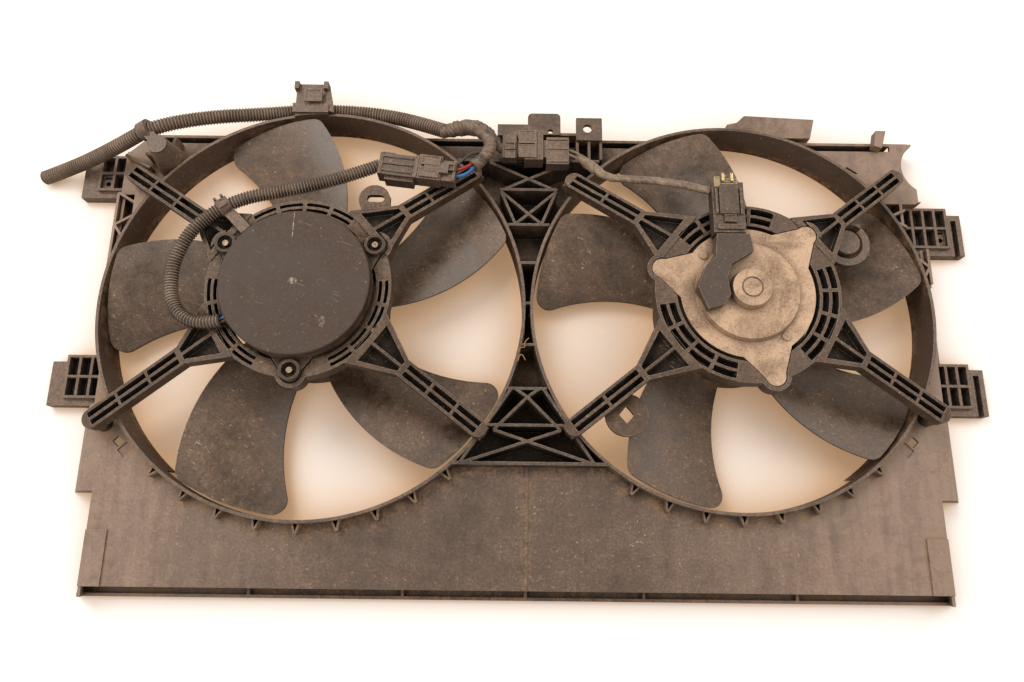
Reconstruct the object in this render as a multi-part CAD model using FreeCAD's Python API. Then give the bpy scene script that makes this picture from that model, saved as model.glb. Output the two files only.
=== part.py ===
import FreeCAD, Part
import math
import os
from FreeCAD import Vector

# Twin radiator fan shroud with two electric fans, in millimetres.
# It lies on its radiator side: Z = 0 is the face that meets the radiator, +Z points
# to the engine, +Y is the vehicle's up and +X runs to the right as seen from the engine.
# Everything is built with Y = 0 at the lower edge and moved to the frame at the end.

# ---------------------------------------------------------------- driving dimensions
# moulding
sheet = 2.5                  # general wall of the moulding
seam = 0.15                  # between zones of the moulding that are listed apart
apron_height = 22.0          # outer face of the plate above the radiator face
duct_height = 36.0           # rim of the fan barrels
left_duct_radius = 176.5     # bore of the left barrel
right_duct_radius = 167.0    # bore of the right barrel
barrel_wall = 2.5
gusset_pitch = 10.0          # degrees between the gussets under the barrels
duct_gap = 4.0               # between the two barrels at the waist
waist_offset = 7.0           # the waist stands right of the middle
apron_depth = 57.0           # plate below the larger barrel
duct_overhang = 15.5         # the larger barrel beyond the plate's upper edge
left_shoulder = 13.5         # plate outside the left barrel
right_shoulder = 18.5        # plate outside the right barrel
shoulder_step = 17.0         # the plate is this much narrower at its foot, each side
shoulder_drop = 155.0        # shoulders start this far below the barrels' centres
shoulder_rise = 104.0        # and end this far above them
foot_draft = 8.5             # lean of the side walls at the foot
shoulder_draft = 14.0        # lean of the side walls at the shoulders
corner_inset = 12.0          # upper corners stand this far inside the shoulders
upper_corner_chamfer = 20.0
upper_channel_width = 5.5
bay_radius = 26.0            # hose bay in the upper right corner
gutter_width = 8.0           # open channel along the lower edge
gutter_lip = 6.5             # height of its outer lip
rib = 2.2                    # strengthening ribs
floor_height = 5.5           # inner face of the closed floor under the ribs
pocket_rib_height = 26.0     # ribs in the pockets beside the barrels
truss_low = 28.0             # ribbed side pockets start this far above the centres
plenum_height = 19.5         # air way from the apron into the barrels

# fans
fan_height_low = 10.0        # leading edges
fan_height_high = 36.0       # trailing edges
blade_thickness = 2.4
tip_clearance = 2.5          # blade tips to barrel
hub_radius = 62.0
hub_wall = 3.0
hub_bottom = 8.0
left_blade_angles = (23.0, 95.0, 167.0, 239.0, 311.0)
right_blade_angles = (12.0, 98.0, 152.0, 239.0, 313.0)

# motor carriers
carrier_top = 80.0           # upper face of the motor rings
carrier_depth = 14.0
carrier_outer_radius = 73.0
left_ring_radius = 61.0      # bore of the left motor ring
right_ring_radius = 56.0     # bore of the right motor ring
slot_depth = 11.0            # pockets in rings and arms
arm_width = 15.0
arm_depth = 12.0
arm_fall = 0.28              # drop of the arms for each millimetre outwards
arm_cell = 27.0              # length of one pocket in an arm
# angle of each arm, and how far outside the barrel's bore it ends
left_arms = ((41.0, 7.0), (144.5, 29.0), (211.5, 24.0), (323.5, 7.0))
right_arms = ((39.0, 26.0), (141.0, 12.0), (217.5, 10.0), (330.5, 21.0))

# motors
ear_seat = 77.5              # face of the carrier that a motor's ears rest on
ear_reach = 77.0             # tips of the ears from the motor's axis
ear_tip_radius = 8.0
ear_hole_circle = 68.0
left_ear_angles = (30.0, 150.0, 270.0)
right_ear_angles = (44.0, 164.0, 284.0)
left_can_radius = 55.0
right_can_radius = 50.0
can_bottom = 34.0
can_wall = 2.0
can_lip = 3.0                # rim of the can under the cover or end plate
shaft_radius = 4.0
running_clearance = 0.05     # shaft in its bearings
bearing_wall = 4.5
bearing_length = 8.0
magnet_thickness = 9.0
air_gap = 1.0
core_bottom = 46.0
core_top = 66.0
commutator_radius = 11.0
screw_radius = 2.4
screw_clearance = 0.1
cover_radius = 58.5          # plastic cover of the left motor
cover_top = 93.0
plate_thickness = 2.0        # pressed end plate of the right motor
plate_step_radius = 39.0
plate_boss_radius = 16.5
plate_boss_top = 92.0

# brackets and fixtures on the moulding
bracket_reach = 30.0         # side brackets beyond the shoulders
bracket_height = 14.0        # top of the side brackets
bracket_hole_radius = 2.2
# side brackets: side, inner and outer end of the block from the shoulder's edge, lower
# end of both, upper end of the plate and of the block from the barrels' centres
upper_left_block = (-1, -12.0, 14.5, 106.0, 141.0, 146.0)
lower_left_block = (-1, -16.5, 16.0, -84.0, -46.0, -41.0)
upper_right_block = (1, -27.0, 16.0, 60.0, 99.0, 104.0)
lower_right_block = (1, -14.0, 16.0, -84.0, -44.0, -40.0)
block_foot = 8.0             # plain strip below the pockets of a block
clip_reach = 27.5            # conduit clip beyond the left barrel
tab_hole_radius = 4.0        # hole of the upper fixing tab
tab_height = 38.0            # top of the fixing tabs
boss_foot_radius = 14.0
boss_radius = 8.5            # at its top
boss_top = 57.0
boss_stand_off = 12.6        # its axis from the left barrel
boss_angle = 135.6
snap_stand_off = 11.1        # snap windows from the barrels

# harness
conduit_radius = 6.0
branch_radius = 5.0
wrap_radius = 5.4
wrap_branch_radius = 4.6
lead_radius = 4.0
wire_radius = 1.1

# ------------------------------------------------------------------ derived places
left_duct_outer = left_duct_radius + barrel_wall
right_duct_outer = right_duct_radius + barrel_wall
left_x = waist_offset - duct_gap / 2 - left_duct_outer
right_x = waist_offset + duct_gap / 2 + right_duct_outer
duct_y = apron_depth + left_duct_outer
plate_top = duct_y + left_duct_outer - duct_overhang
left_edge = left_x - left_duct_outer - left_shoulder
right_edge = right_x + right_duct_outer + right_shoulder
foot_left = left_edge + shoulder_step
foot_right = right_edge - shoulder_step
shoulder_y = duct_y - shoulder_drop
shoulder_top = duct_y + shoulder_rise
split_y = shoulder_y + 23.0          # upper end of the lower plate
truss_y = duct_y + truss_low
apron_under = apron_height - sheet
floor_under = floor_height - sheet
carrier_bottom = carrier_top - carrier_depth
clip_top = duct_y + left_duct_outer + clip_reach
middle = Vector((left_edge + right_edge) / 2, clip_top / 2, 0)

made = {}


# ------------------------------------------------------------------------- helpers
def keep(name, shape):
    # crumbs that a cut leaves behind are dropped
    largest = max(solid.Volume for solid in shape.Solids)
    solids = [solid for solid in shape.Solids if solid.Volume > 0.02 * largest]
    whole = solids[0] if len(solids) == 1 else Part.makeCompound(solids)
    whole.translate(Vector(0, 0, 0) - middle)
    made[name] = whole


def placed(name):
    # a finished piece, back in the frame that everything is built in
    shape = made[name].copy()
    shape.translate(middle)
    return shape


def box(x0, x1, y0, y1, z0, z1):
    return Part.makeBox(x1 - x0, y1 - y0, z1 - z0, Vector(x0, y0, z0))


def disc(x, y, z0, z1, radius):
    return Part.makeCylinder(radius, z1 - z0, Vector(x, y, z0))


def ring(x, y, z0, z1, inner, outer):
    return disc(x, y, z0, z1, outer).cut(disc(x, y, z0 - 1, z1 + 1, inner))


def prism(points, z0, z1):
    corners = [Vector(x, y, z0) for x, y in points]
    outline = Part.makePolygon(corners + corners[:1])
    return Part.Face(outline).extrude(Vector(0, 0, z1 - z0))


def slab_along_y(points, y0, y1):
    # a profile given as (x, z) pairs, drawn out from y0 to y1
    corners = [Vector(x, y0, z) for x, z in points]
    outline = Part.makePolygon(corners + corners[:1])
    return Part.Face(outline).extrude(Vector(0, y1 - y0, 0))


def fuse(solids):
    solids = list(solids)
    return solids[0].multiFuse(solids[1:]) if len(solids) > 1 else solids[0]


def cut(base, tools):
    tools = list(tools)
    return base.cut(Part.makeCompound(tools)) if tools else base


def stiffener(start, end, z0, z1, width=rib):
    # an upright rib between two points of the plan
    along = Vector(end[0] - start[0], end[1] - start[1], 0)
    side = Vector(-along.y, along.x, 0).normalize() * (width / 2)
    a = Vector(start[0], start[1], 0)
    b = Vector(end[0], end[1], 0)
    corners = [(p.x, p.y) for p in (a + side, b + side, b - side, a - side)]
    return prism(corners, z0, z1)


def turned(shape, angle, x=0.0, y=0.0, z=0.0):
    copy = shape.copy()
    copy.rotate(Vector(0, 0, 0), Vector(0, 0, 1), angle)
    copy.translate(Vector(x, y, z))
    return copy


def polar(radius, angle, x=0.0, y=0.0):
    turn = math.radians(angle)
    return (x + radius * math.cos(turn), y + radius * math.sin(turn))


def sector(inner, outer, start, sweep, z0, z1):
    # part of a flat ring about the Z axis
    profile = Part.makePolygon([
        Vector(inner, 0, z0), Vector(outer, 0, z0), Vector(outer, 0, z1),
        Vector(inner, 0, z1), Vector(inner, 0, z0)])
    body = Part.Face(profile).revolve(Vector(0, 0, 0), Vector(0, 0, 1), sweep)
    return turned(body, start)


def barrel_cutters(z0, z1):
    return [disc(left_x, duct_y, z0, z1, left_duct_outer + seam),
            disc(right_x, duct_y, z0, z1, right_duct_outer + seam)]


# ---------------------------------------------------------------- the plate's zones
def leaning_wall(foot, lean, y0, y1):
    # side wall that leans inwards from its foot; lean is signed
    inward = math.copysign(sheet, lean)
    return slab_along_y([(foot, 0), (foot + inward, 0),
                         (foot + lean + inward, apron_height),
                         (foot + lean, apron_height)], y0, y1)


def snap_window(x, y, angle):
    # rectangular window and the pocket in front of it where a clip snaps in
    hole = turned(box(-3.0, 3.0, 0.0, 7.0, apron_under - 1, apron_height + 1), angle, x, y)
    ramp = turned(box(-5.0, 5.0, -9.5, -1.5, apron_height - 1.2, apron_height + 1), angle, x, y)
    return [hole, ramp]


def lower_plate():
    gutter_floor = 2.5
    top_left = foot_left + foot_draft
    top_right = foot_right - foot_draft
    shoulder_left = left_edge + shoulder_draft
    shoulder_right = right_edge - shoulder_draft
    face = prism([(top_left, gutter_width), (top_right, gutter_width),
                  (top_right, shoulder_y), (shoulder_right, shoulder_y),
                  (shoulder_right, split_y), (shoulder_left, split_y),
                  (shoulder_left, shoulder_y), (top_left, shoulder_y)],
                 apron_under, apron_height)
    parts = [face,
             leaning_wall(foot_left, foot_draft, 0, shoulder_y + sheet),
             leaning_wall(foot_right, -foot_draft, 0, shoulder_y + sheet),
             leaning_wall(left_edge, shoulder_draft, shoulder_y, split_y),
             leaning_wall(right_edge, -shoulder_draft, shoulder_y, split_y)]
    # end walls of the two shoulders
    parts.append(slab_along_y([(left_edge, 0), (foot_left + sheet, 0),
                               (top_left + sheet, apron_height),
                               (shoulder_left, apron_height)],
                              shoulder_y, shoulder_y + sheet))
    parts.append(slab_along_y([(right_edge, 0), (foot_right - sheet, 0),
                               (top_right - sheet, apron_height),
                               (shoulder_right, apron_height)],
                              shoulder_y, shoulder_y + sheet))
    # wall behind the gutter, the gutter's floor, lip and cross ribs
    parts.append(slab_along_y([(foot_left, 0), (foot_right, 0),
                               (top_right, apron_height), (top_left, apron_height)],
                              gutter_width, gutter_width + sheet))
    parts.append(box(foot_left, foot_right, 0, gutter_width, 0, gutter_floor))
    parts.append(box(foot_left, foot_right, 0, sheet, 0, gutter_lip))
    for share in (-0.61, -0.26, 0.02, 0.29, 0.64):
        x = share * foot_right
        parts.append(box(x - rib / 2, x + rib / 2, sheet, gutter_width, gutter_floor, gutter_lip))
    # pads at the lower corners and the low ridge down the middle
    pad_width, pad_depth, pad_rise = 17.0, 43.0, 1.5
    for x0 in (top_left, top_right - pad_width):
        parts.append(box(x0, x0 + pad_width, gutter_width, gutter_width + pad_depth,
                         apron_height, apron_height + pad_rise))
    parts.append(box(waist_offset - rib / 2, waist_offset + rib / 2, gutter_width,
                     split_y, apron_height, apron_height + 1.0))
    plate = fuse(parts)
    plate = cut(plate, barrel_cutters(-1, apron_height + 5))
    keep("lower_plate", plate)


def span(a, b, y0, y1, z0, z1):
    # box between two places on X given in either order
    return box(min(a, b), max(a, b), y0, y1, z0, z1)


def rim_x(side, y):
    # where a barrel's outer face stands at one height of the plate
    x, outer = (left_x, left_duct_outer) if side < 0 else (right_x, right_duct_outer)
    return x + side * math.sqrt(outer ** 2 - (y - duct_y) ** 2)


def upper_channel(x0, x1):
    # narrow open channel along the plate's upper edge: its walls and floor, and the cut
    inner = plate_top - upper_channel_width - sheet
    walls = [span(x0, x1, inner - sheet, inner, 0, apron_height),
             span(x0, x1, plate_top - sheet, plate_top, 0, apron_height),
             span(x0, x1, inner - sheet, plate_top, 0, floor_under)]
    gap = span(x0, x1, inner, plate_top - sheet, floor_under, apron_height + 1)
    return walls, gap


def side_zone(side, blocks):
    # plate beside one barrel, up to the upper corner
    edge = left_edge if side < 0 else right_edge
    inner_x = left_x if side < 0 else right_x
    lean = -side * shoulder_draft
    top_x = edge + lean
    low_x = edge + lean * 0.75
    corner_x = edge - side * corner_inset
    reach = inner_x + side * 30.0
    parts = [span(top_x, inner_x, split_y, truss_y, apron_under, apron_height),
             leaning_wall(edge, lean, split_y, shoulder_top),
             span(low_x, inner_x, truss_y - sheet, shoulder_top + sheet,
                  floor_under, floor_height),
             span(low_x, inner_x, truss_y - sheet, truss_y, floor_under, apron_height),
             span(corner_x, inner_x, shoulder_top, shoulder_top + sheet,
                  floor_under, apron_height)]
    # zigzag ribs across the pocket beside the barrel
    outer_rib = edge + lean * 0.85
    count = 5
    step = (shoulder_top - truss_y) / count
    for k in range(count):
        y0 = shoulder_top - k * step
        ends = [(outer_rib, y0), (rim_x(side, y0 - step), y0 - step)]
        if k % 2:
            ends = [(rim_x(side, y0), y0), (outer_rib, y0 - step)]
        parts.append(stiffener(ends[0], ends[1], floor_height, pocket_rib_height))
    parts.append(stiffener((outer_rib, truss_y), (outer_rib, shoulder_top),
                           floor_height, pocket_rib_height))
    # upper corner: face, channel along the edge and outer wall
    foot_x = corner_x - side * upper_corner_chamfer
    if side < 0:
        corner = [(corner_x, shoulder_top), (corner_x, plate_top - upper_corner_chamfer),
                  (foot_x, plate_top), (reach, plate_top), (reach, shoulder_top)]
        parts.append(stiffener((corner_x + 1, plate_top - upper_corner_chamfer),
                               (foot_x + 1, plate_top - 1), 0, apron_height))
    else:
        corner = [(corner_x, shoulder_top), (corner_x, plate_top - 3), (corner_x - 3, plate_top),
                  (reach, plate_top), (reach, shoulder_top)]
    parts.append(prism(corner, apron_under, apron_height))
    parts.append(span(corner_x, corner_x - side * sheet, shoulder_top,
                      plate_top - upper_corner_chamfer, 0, apron_height))
    walls, gap = upper_channel(foot_x, reach)
    parts.extend(walls)
    cuts = barrel_cutters(-1, duct_height + 5) + [gap]
    for _, start, _, low, _, high in blocks:
        # the bracket's block takes the place of the shoulder's wall
        inner = edge + side * start
        cuts.append(span(inner, edge + side * 20, duct_y + low, duct_y + high, -1, duct_height))
        parts.append(span(inner, inner - side * sheet, duct_y + low, duct_y + high,
                          0, apron_height))
    return parts, cuts


def left_side_plate():
    parts, cuts = side_zone(-1, [lower_left_block, upper_left_block])
    # raised web between the barrel and the upper corner
    web_x = left_edge + 31.5
    parts.append(prism([(web_x, duct_y + 76), (web_x, shoulder_top + 8), (web_x + 40, shoulder_top + 8),
                        (web_x + 40, duct_y + 76)], floor_under, duct_height))
    # ridge from the corner's wall to the barrel
    ridge_x = left_edge + corner_inset + 4
    parts.append(stiffener((ridge_x, shoulder_top + 34), (ridge_x + 23, shoulder_top + 22),
                           apron_under, duct_height - 4))
    # three-cornered pocket between the corner boss and the barrel
    x, y = boss_place()
    pocket = prism([(x - 4, y - 13), (x + 17, y + 6), (x + 23, y + 1), (x + 9, y - 13)],
                   apron_under - 1, apron_height + 1)
    # room for the foot of the carrier's arm
    angle, overreach = left_arms[1]
    foot_x, foot_y = polar(left_duct_radius + overreach - arm_width / 2, angle, left_x, duct_y)
    foot = disc(foot_x, foot_y, apron_height, duct_height + 1, arm_width / 2 - 1.0 + seam)
    beam = turned(box(left_duct_radius - 26, left_duct_radius + overreach + 10,
                      -arm_width / 2 - seam, arm_width / 2 + seam, duct_height - 5,
                      duct_height + 4), angle,
                  left_x, duct_y)
    snap_x, snap_y = polar(left_duct_outer + snap_stand_off, 218.2, left_x, duct_y)
    snap = snap_window(snap_x, snap_y, 45)
    zone = cut(fuse(parts), cuts + [pocket, foot, beam] + snap)
    keep("left_side_plate", zone)


def right_side_plate():
    parts, cuts = side_zone(1, [lower_right_block, upper_right_block])
    # the upper corner is notched by a round bay for a hose
    bay_x = right_edge + 2.7
    bay_y = plate_top - 23.5
    wall = ring(bay_x, bay_y, 0, apron_height, bay_radius, bay_radius + sheet)
    parts.append(wall.common(box(bay_x - 60, right_edge - corner_inset, shoulder_top,
                                 plate_top, 0, apron_height)))
    bay = disc(bay_x, bay_y, -1, apron_height + 1, bay_radius)
    # triangular snap window
    window_x, window_y = polar(right_duct_outer + 9.5, 49.0, right_x, duct_y)
    window = prism([(window_x - 8, window_y - 2), (window_x - 2, window_y + 5),
                    (window_x + 8, window_y - 2)], apron_under - 1, apron_height + 1)
    snap_x, snap_y = polar(right_duct_outer + snap_stand_off, 322.1, right_x, duct_y)
    snap = snap_window(snap_x, snap_y, -45)
    zone = cut(fuse(parts), cuts + [bay, window] + snap)
    keep("right_side_plate", zone)


lattice_lower_ribs = (
    # (from x, from y, to x, to y) about the waist, y from the barrels' centres
    (-16, -70, 16, -70), (-32, -100, 32, -100),
    (0, -77, -27, -104), (0, -77, 27, -104), (-10, -70, 0, -77), (10, -70, 0, -77),
    (-54, -131, 27, -104), (54, -131, -27, -104),
    (-13, -70, -54, -131), (13, -70, 54, -131))
lattice_upper_ribs = (
    (-25, 107, 25, 107), (-18, 74, 18, 74), (-62, 135, 62, 135),
    (-34, 133, 24, 106), (34, 133, -24, 106),
    (-24, 105, 0, 84), (24, 105, 0, 84), (0, 84, -12, 74), (0, 84, 12, 74),
    (-24, 105, -11, 74), (24, 105, 11, 74))


def lattice(name, y0, y1, ribs, extra, gaps):
    # closed floor and tall ribs between the barrels
    reach = 130.0
    parts = [box(waist_offset - reach, waist_offset + reach, y0, y1, floor_under, floor_height)]
    for ax, ay, bx, by in ribs:
        parts.append(stiffener((waist_offset + ax, duct_y + ay), (waist_offset + bx, duct_y + by),
                               floor_under, duct_height))
    parts.extend(extra)
    web = fuse(parts)
    zone = box(waist_offset - reach, waist_offset + reach, y0, y1, 0, duct_height + 10)
    web = web.common(zone)
    web = cut(web, barrel_cutters(-1, duct_height + 20) + gaps)
    keep(name, web)


def lower_lattice():
    y0 = split_y + seam
    wall = box(waist_offset - 130, waist_offset + 130, y0, y0 + sheet, 0, duct_height)
    ties = [box(waist_offset - 8, waist_offset + 8, duct_y - d - rib / 2, duct_y - d + rib / 2,
                floor_under, duct_height) for d in (33.0,)]
    lattice("lower_lattice", y0, duct_y - seam, lattice_lower_ribs, [wall] + ties, [])


def upper_lattice():
    # face and channel at the plate's upper edge, and the cross ribs at the waist
    x0, x1 = waist_offset - 130, waist_offset + 130
    walls, gap = upper_channel(x0, x1)
    head = box(x0, x1, duct_y + 135, plate_top, apron_under, apron_height)
    ties = [box(waist_offset - 12, waist_offset + 12, duct_y + d - rib / 2, duct_y + d + rib / 2,
                floor_under, duct_height) for d in (3.0, 39.0)]
    lattice("upper_lattice", duct_y + seam, plate_top, lattice_upper_ribs, [head] + walls + ties, [gap])


def barrel(name, x, bore, gusset_angles):
    wall = ring(x, duct_y, 0, duct_height, bore, bore + barrel_wall)
    # the apron's air reaches the fan through this port
    port_half = bore * 0.8
    port = box(x - port_half, x + port_half, duct_y - bore - 10, split_y - 6, -1, plenum_height)
    wall = wall.cut(port)
    outer = bore + barrel_wall
    gussets = []
    for angle in gusset_angles:
        for lean in (-3.2, 3.2):
            leg = stiffener((outer - barrel_wall / 2, lean), (outer + 8.0, 0.3 * math.copysign(1, lean)),
                            apron_height + seam, duct_height - 5, 1.6)
            gussets.append(turned(leg, angle, x, duct_y))
    keep(name, fuse([wall] + gussets))


# ------------------------------------------------------------------ motor carriers
def sloped(r0, r1, half_width, top_offset, depth):
    # slab that follows an arm's falling top line, drawn along +X
    def top(radius):
        return carrier_top - arm_fall * (radius - carrier_outer_radius) + top_offset

    return slab_along_y([(r0, top(r0)), (r1, top(r1)), (r1, top(r1) - depth),
                         (r0, top(r0) - depth)], -half_width, half_width)


def arm(bore, overreach):
    # one channel-like arm along +X, and its pockets
    outer = bore + barrel_wall
    arm_end = bore + overreach
    root = carrier_outer_radius - 4.0
    flare_end, flare_half = carrier_outer_radius + 32.0, 25.0
    half = arm_width / 2
    tip = arm_end - half
    beam = sloped(root, arm_end, half, 0, arm_depth)
    beam = beam.common(fuse([box(root, tip, -half, half, 0, carrier_top + 5),
                             disc(tip, 0, 0, carrier_top + 5, half)]))
    wing = sloped(root, flare_end, flare_half, 0, arm_depth)
    wing = wing.common(prism([(root, -flare_half), (flare_end, -half + 0.5),
                              (flare_end, half - 0.5), (root, flare_half)], 0, carrier_top + 5))
    # foot on the rim of the barrel, or post on the plate outside it
    high = carrier_top - arm_fall * (arm_end - carrier_outer_radius) - arm_depth / 2
    if tip > outer + 4:
        foot = disc(tip, 0, apron_height + seam, high, half - 1.0)
        foot = foot.cut(disc(0, 0, 0, duct_height + seam, outer + seam))
    else:
        foot = box(bore, arm_end - 1.0, -half + 1.5, half - 1.5, duct_height, high)
    pockets = []
    cell_width = (arm_width - 3 * rib) / 2
    span = arm_end - 7.0 - flare_end
    count = max(1, round(span / arm_cell))
    pitch = span / count
    for k in range(count):
        start = flare_end + k * pitch + rib
        for row in (-1, 1):
            pocket = sloped(start, start + pitch - rib, cell_width / 2, 1.0, slot_depth - 1.0)
            pocket.translate(Vector(0, row * (cell_width + rib) / 2, 0))
            pockets.append(pocket)
    # triangular pockets in the flare, either side of the middle rib
    for row in (-1, 1):
        inner = flare_half - rib * 1.3
        wedge = prism([(carrier_outer_radius + rib, row * rib / 2),
                       (carrier_outer_radius + rib, row * inner * 0.8),
                       (flare_end - rib, row * (half - rib * 1.3)),
                       (flare_end - rib, row * rib / 2)], 0, carrier_top + 5)
        slab = sloped(carrier_outer_radius, flare_end, flare_half, 1.0, slot_depth - 1.0)
        pockets.append(slab.common(wedge))
    return fuse([beam, wing, foot]), Part.makeCompound(pockets)


def ear_outline(grow, z0, z1, inner):
    # triangular ear with a rounded tip along +X, and the disc it grows from
    tip = ear_reach - ear_tip_radius
    base = 22.0 + grow
    leg = prism([(inner * 0.8, -base), (tip, -ear_tip_radius - grow),
                 (tip, ear_tip_radius + grow), (inner * 0.8, base)], z0, z1)
    return fuse([leg, disc(tip, 0, z0, z1, ear_tip_radius + grow)])


def carrier(name, x, bore, ring_bore, arms, ear_angles, lug):
    body = [ring(0, 0, carrier_bottom, carrier_top, ring_bore, carrier_outer_radius)]
    pockets = []
    for angle, overreach in arms:
        arm_solid, arm_pockets = arm(bore, overreach)
        body.append(turned(arm_solid, angle))
        pockets.append(turned(arm_pockets, angle))
    # lobes under the ears
    for angle in ear_angles:
        lobe = ear_outline(4.0, carrier_bottom, carrier_top, ring_bore)
        body.append(turned(lobe, angle))
    body.append(lug)
    whole = fuse(body)
    whole = whole.cut(disc(0, 0, 0, carrier_top + 10, ring_bore))
    # two rows of curved slots round the ring, clear of the ears
    row_width = (carrier_outer_radius - ring_bore - 3 * rib) / 2
    low = carrier_top - slot_depth
    for ear in ear_angles:
        for k in range(4):
            start = ear + 24.0 + k * 18.0
            for row in range(2):
                inner = ring_bore + rib + row * (row_width + rib)
                pockets.append(sector(inner, inner + row_width, start + 1.2, 15.6,
                                      low, carrier_top + 1))
        seat = ear_outline(0.8, ear_seat, carrier_top + 20, ring_bore)
        pockets.append(turned(seat, ear))
        hx, hy = polar(ear_hole_circle, ear)
        pockets.append(disc(hx, hy, 0, carrier_top + 5, screw_radius + screw_clearance))
    whole = cut(whole, pockets)
    keep(name, turned(whole, 0, x, duct_y))


def left_carrier():
    # eye lug with a slotted hole between the ring and the upper right arm
    lug = fuse([box(44, 66, 60, 84, carrier_bottom - 4, carrier_bottom + 1),
                disc(53, 81, carrier_bottom - 4, carrier_bottom + 1, 13)])
    slot = fuse([disc(50, 82, 0, carrier_top, 3.2), disc(58, 82, 0, carrier_top, 3.2),
                 box(50, 58, 78.8, 85.2, 0, carrier_top)])
    carrier("left_motor_carrier", left_x, left_duct_radius, left_ring_radius,
            left_arms, left_ear_angles, lug.cut(slot))


def right_carrier():
    # round lug with a diamond hole under the lower left arm
    lug_x, lug_y = polar(132.0, right_arms[2][0] + 7.5)
    lug = disc(lug_x, lug_y, 46.0, 50.5, 17.0)
    diamond = prism([(lug_x - 6, lug_y), (lug_x, lug_y - 7), (lug_x + 6, lug_y),
                     (lug_x, lug_y + 7)], 0, carrier_top)
    carrier("right_motor_carrier", right_x, right_duct_radius, right_ring_radius,
            right_arms, right_ear_angles, lug.cut(diamond))


# ---------------------------------------------------------------------------- fans
def blade(tip_radius):
    # one forward-swept blade about the +X axis: leading edge low, trailing edge high
    def at(share, angle, z):
        x, y = polar(share * tip_radius, angle)
        return Vector(x, y, z)

    root = hub_radius - 2.0
    root_share = root / tip_radius

    def curve(stations, z, swing):
        points = [at(share, angle + swing, z) for share, angle in stations]
        return Part.Arc(*points).toShape()

    trailing = ((root_share, -25.5), (0.75, -12.5), (1.03, -1.5))
    leading = ((root_share, 22.0), (0.64, 21.0), (1.03, 29.5))
    middle_line = ((root_share, -2.0), (0.7, 4.0), (1.03, 14.0))
    camber = 3.0
    mid_height = (fan_height_low + fan_height_high) / 2 + camber
    low = fan_height_low
    high = fan_height_high - blade_thickness
    skin = Part.makeLoft([Part.Wire(curve(leading, low - 1.5, 3.0)),
                          Part.Wire(curve(middle_line, mid_height, 0)),
                          Part.Wire(curve(trailing, high + 1.0, -3.0))], False, False)
    body = skin.Faces[0].extrude(Vector(0, 0, blade_thickness))
    # plan outline with rounded tip corners
    t0 = curve(trailing, 0, 0)
    l0 = curve(leading, 0, 0)
    tip = Part.Arc(t0.Vertexes[-1].Point, at(1.03, 14.0, 0), l0.Vertexes[-1].Point).toShape()
    base = Part.LineSegment(t0.Vertexes[0].Point, l0.Vertexes[0].Point).toShape()
    outline = Part.Wire(Part.__sortEdges__([t0, tip, l0, base]))
    plan = Part.Face(outline).extrude(Vector(0, 0, fan_height_high + 10))
    plan = plan.common(disc(0, 0, -1, fan_height_high + 20, tip_radius))
    corners = [e for e in plan.Edges
               if abs(e.tangentAt(e.FirstParameter).z) > 0.99
               and math.hypot(e.Vertexes[0].X, e.Vertexes[0].Y) > 0.97 * tip_radius]
    plan = plan.makeFillet(0.065 * tip_radius, corners)
    return body.common(plan)


def fan(name, x, bore, angles):
    tip_radius = bore - tip_clearance
    cup = ring(0, 0, hub_bottom, fan_height_high + 1.0, hub_radius - hub_wall, hub_radius)
    web = disc(0, 0, hub_bottom, hub_bottom + hub_wall, hub_radius)
    sleeve = disc(0, 0, hub_bottom, can_bottom - 6.0, 11.0)
    bore_hole = disc(0, 0, 0, can_bottom, shaft_radius + running_clearance)
    ribs = [turned(box(10, hub_radius - 2, -1.2, 1.2, hub_bottom + 1, hub_bottom + 9), k * 36.0)
            for k in range(10)]
    one = blade(tip_radius)
    whole = fuse([cup, web, sleeve] + ribs + [turned(one, angle) for angle in angles])
    keep(name, turned(whole.cut(bore_hole), 0, x, duct_y))


def fan_nut(name, x):
    across = 13.0 / math.sqrt(3)
    corners = [polar(across, k * 60.0, x, duct_y) for k in range(6)]
    nut = prism(corners, hub_bottom - 5.5, hub_bottom)
    keep(name, nut.cut(disc(x, duct_y, 0, hub_bottom + 1, shaft_radius + running_clearance)))


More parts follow.
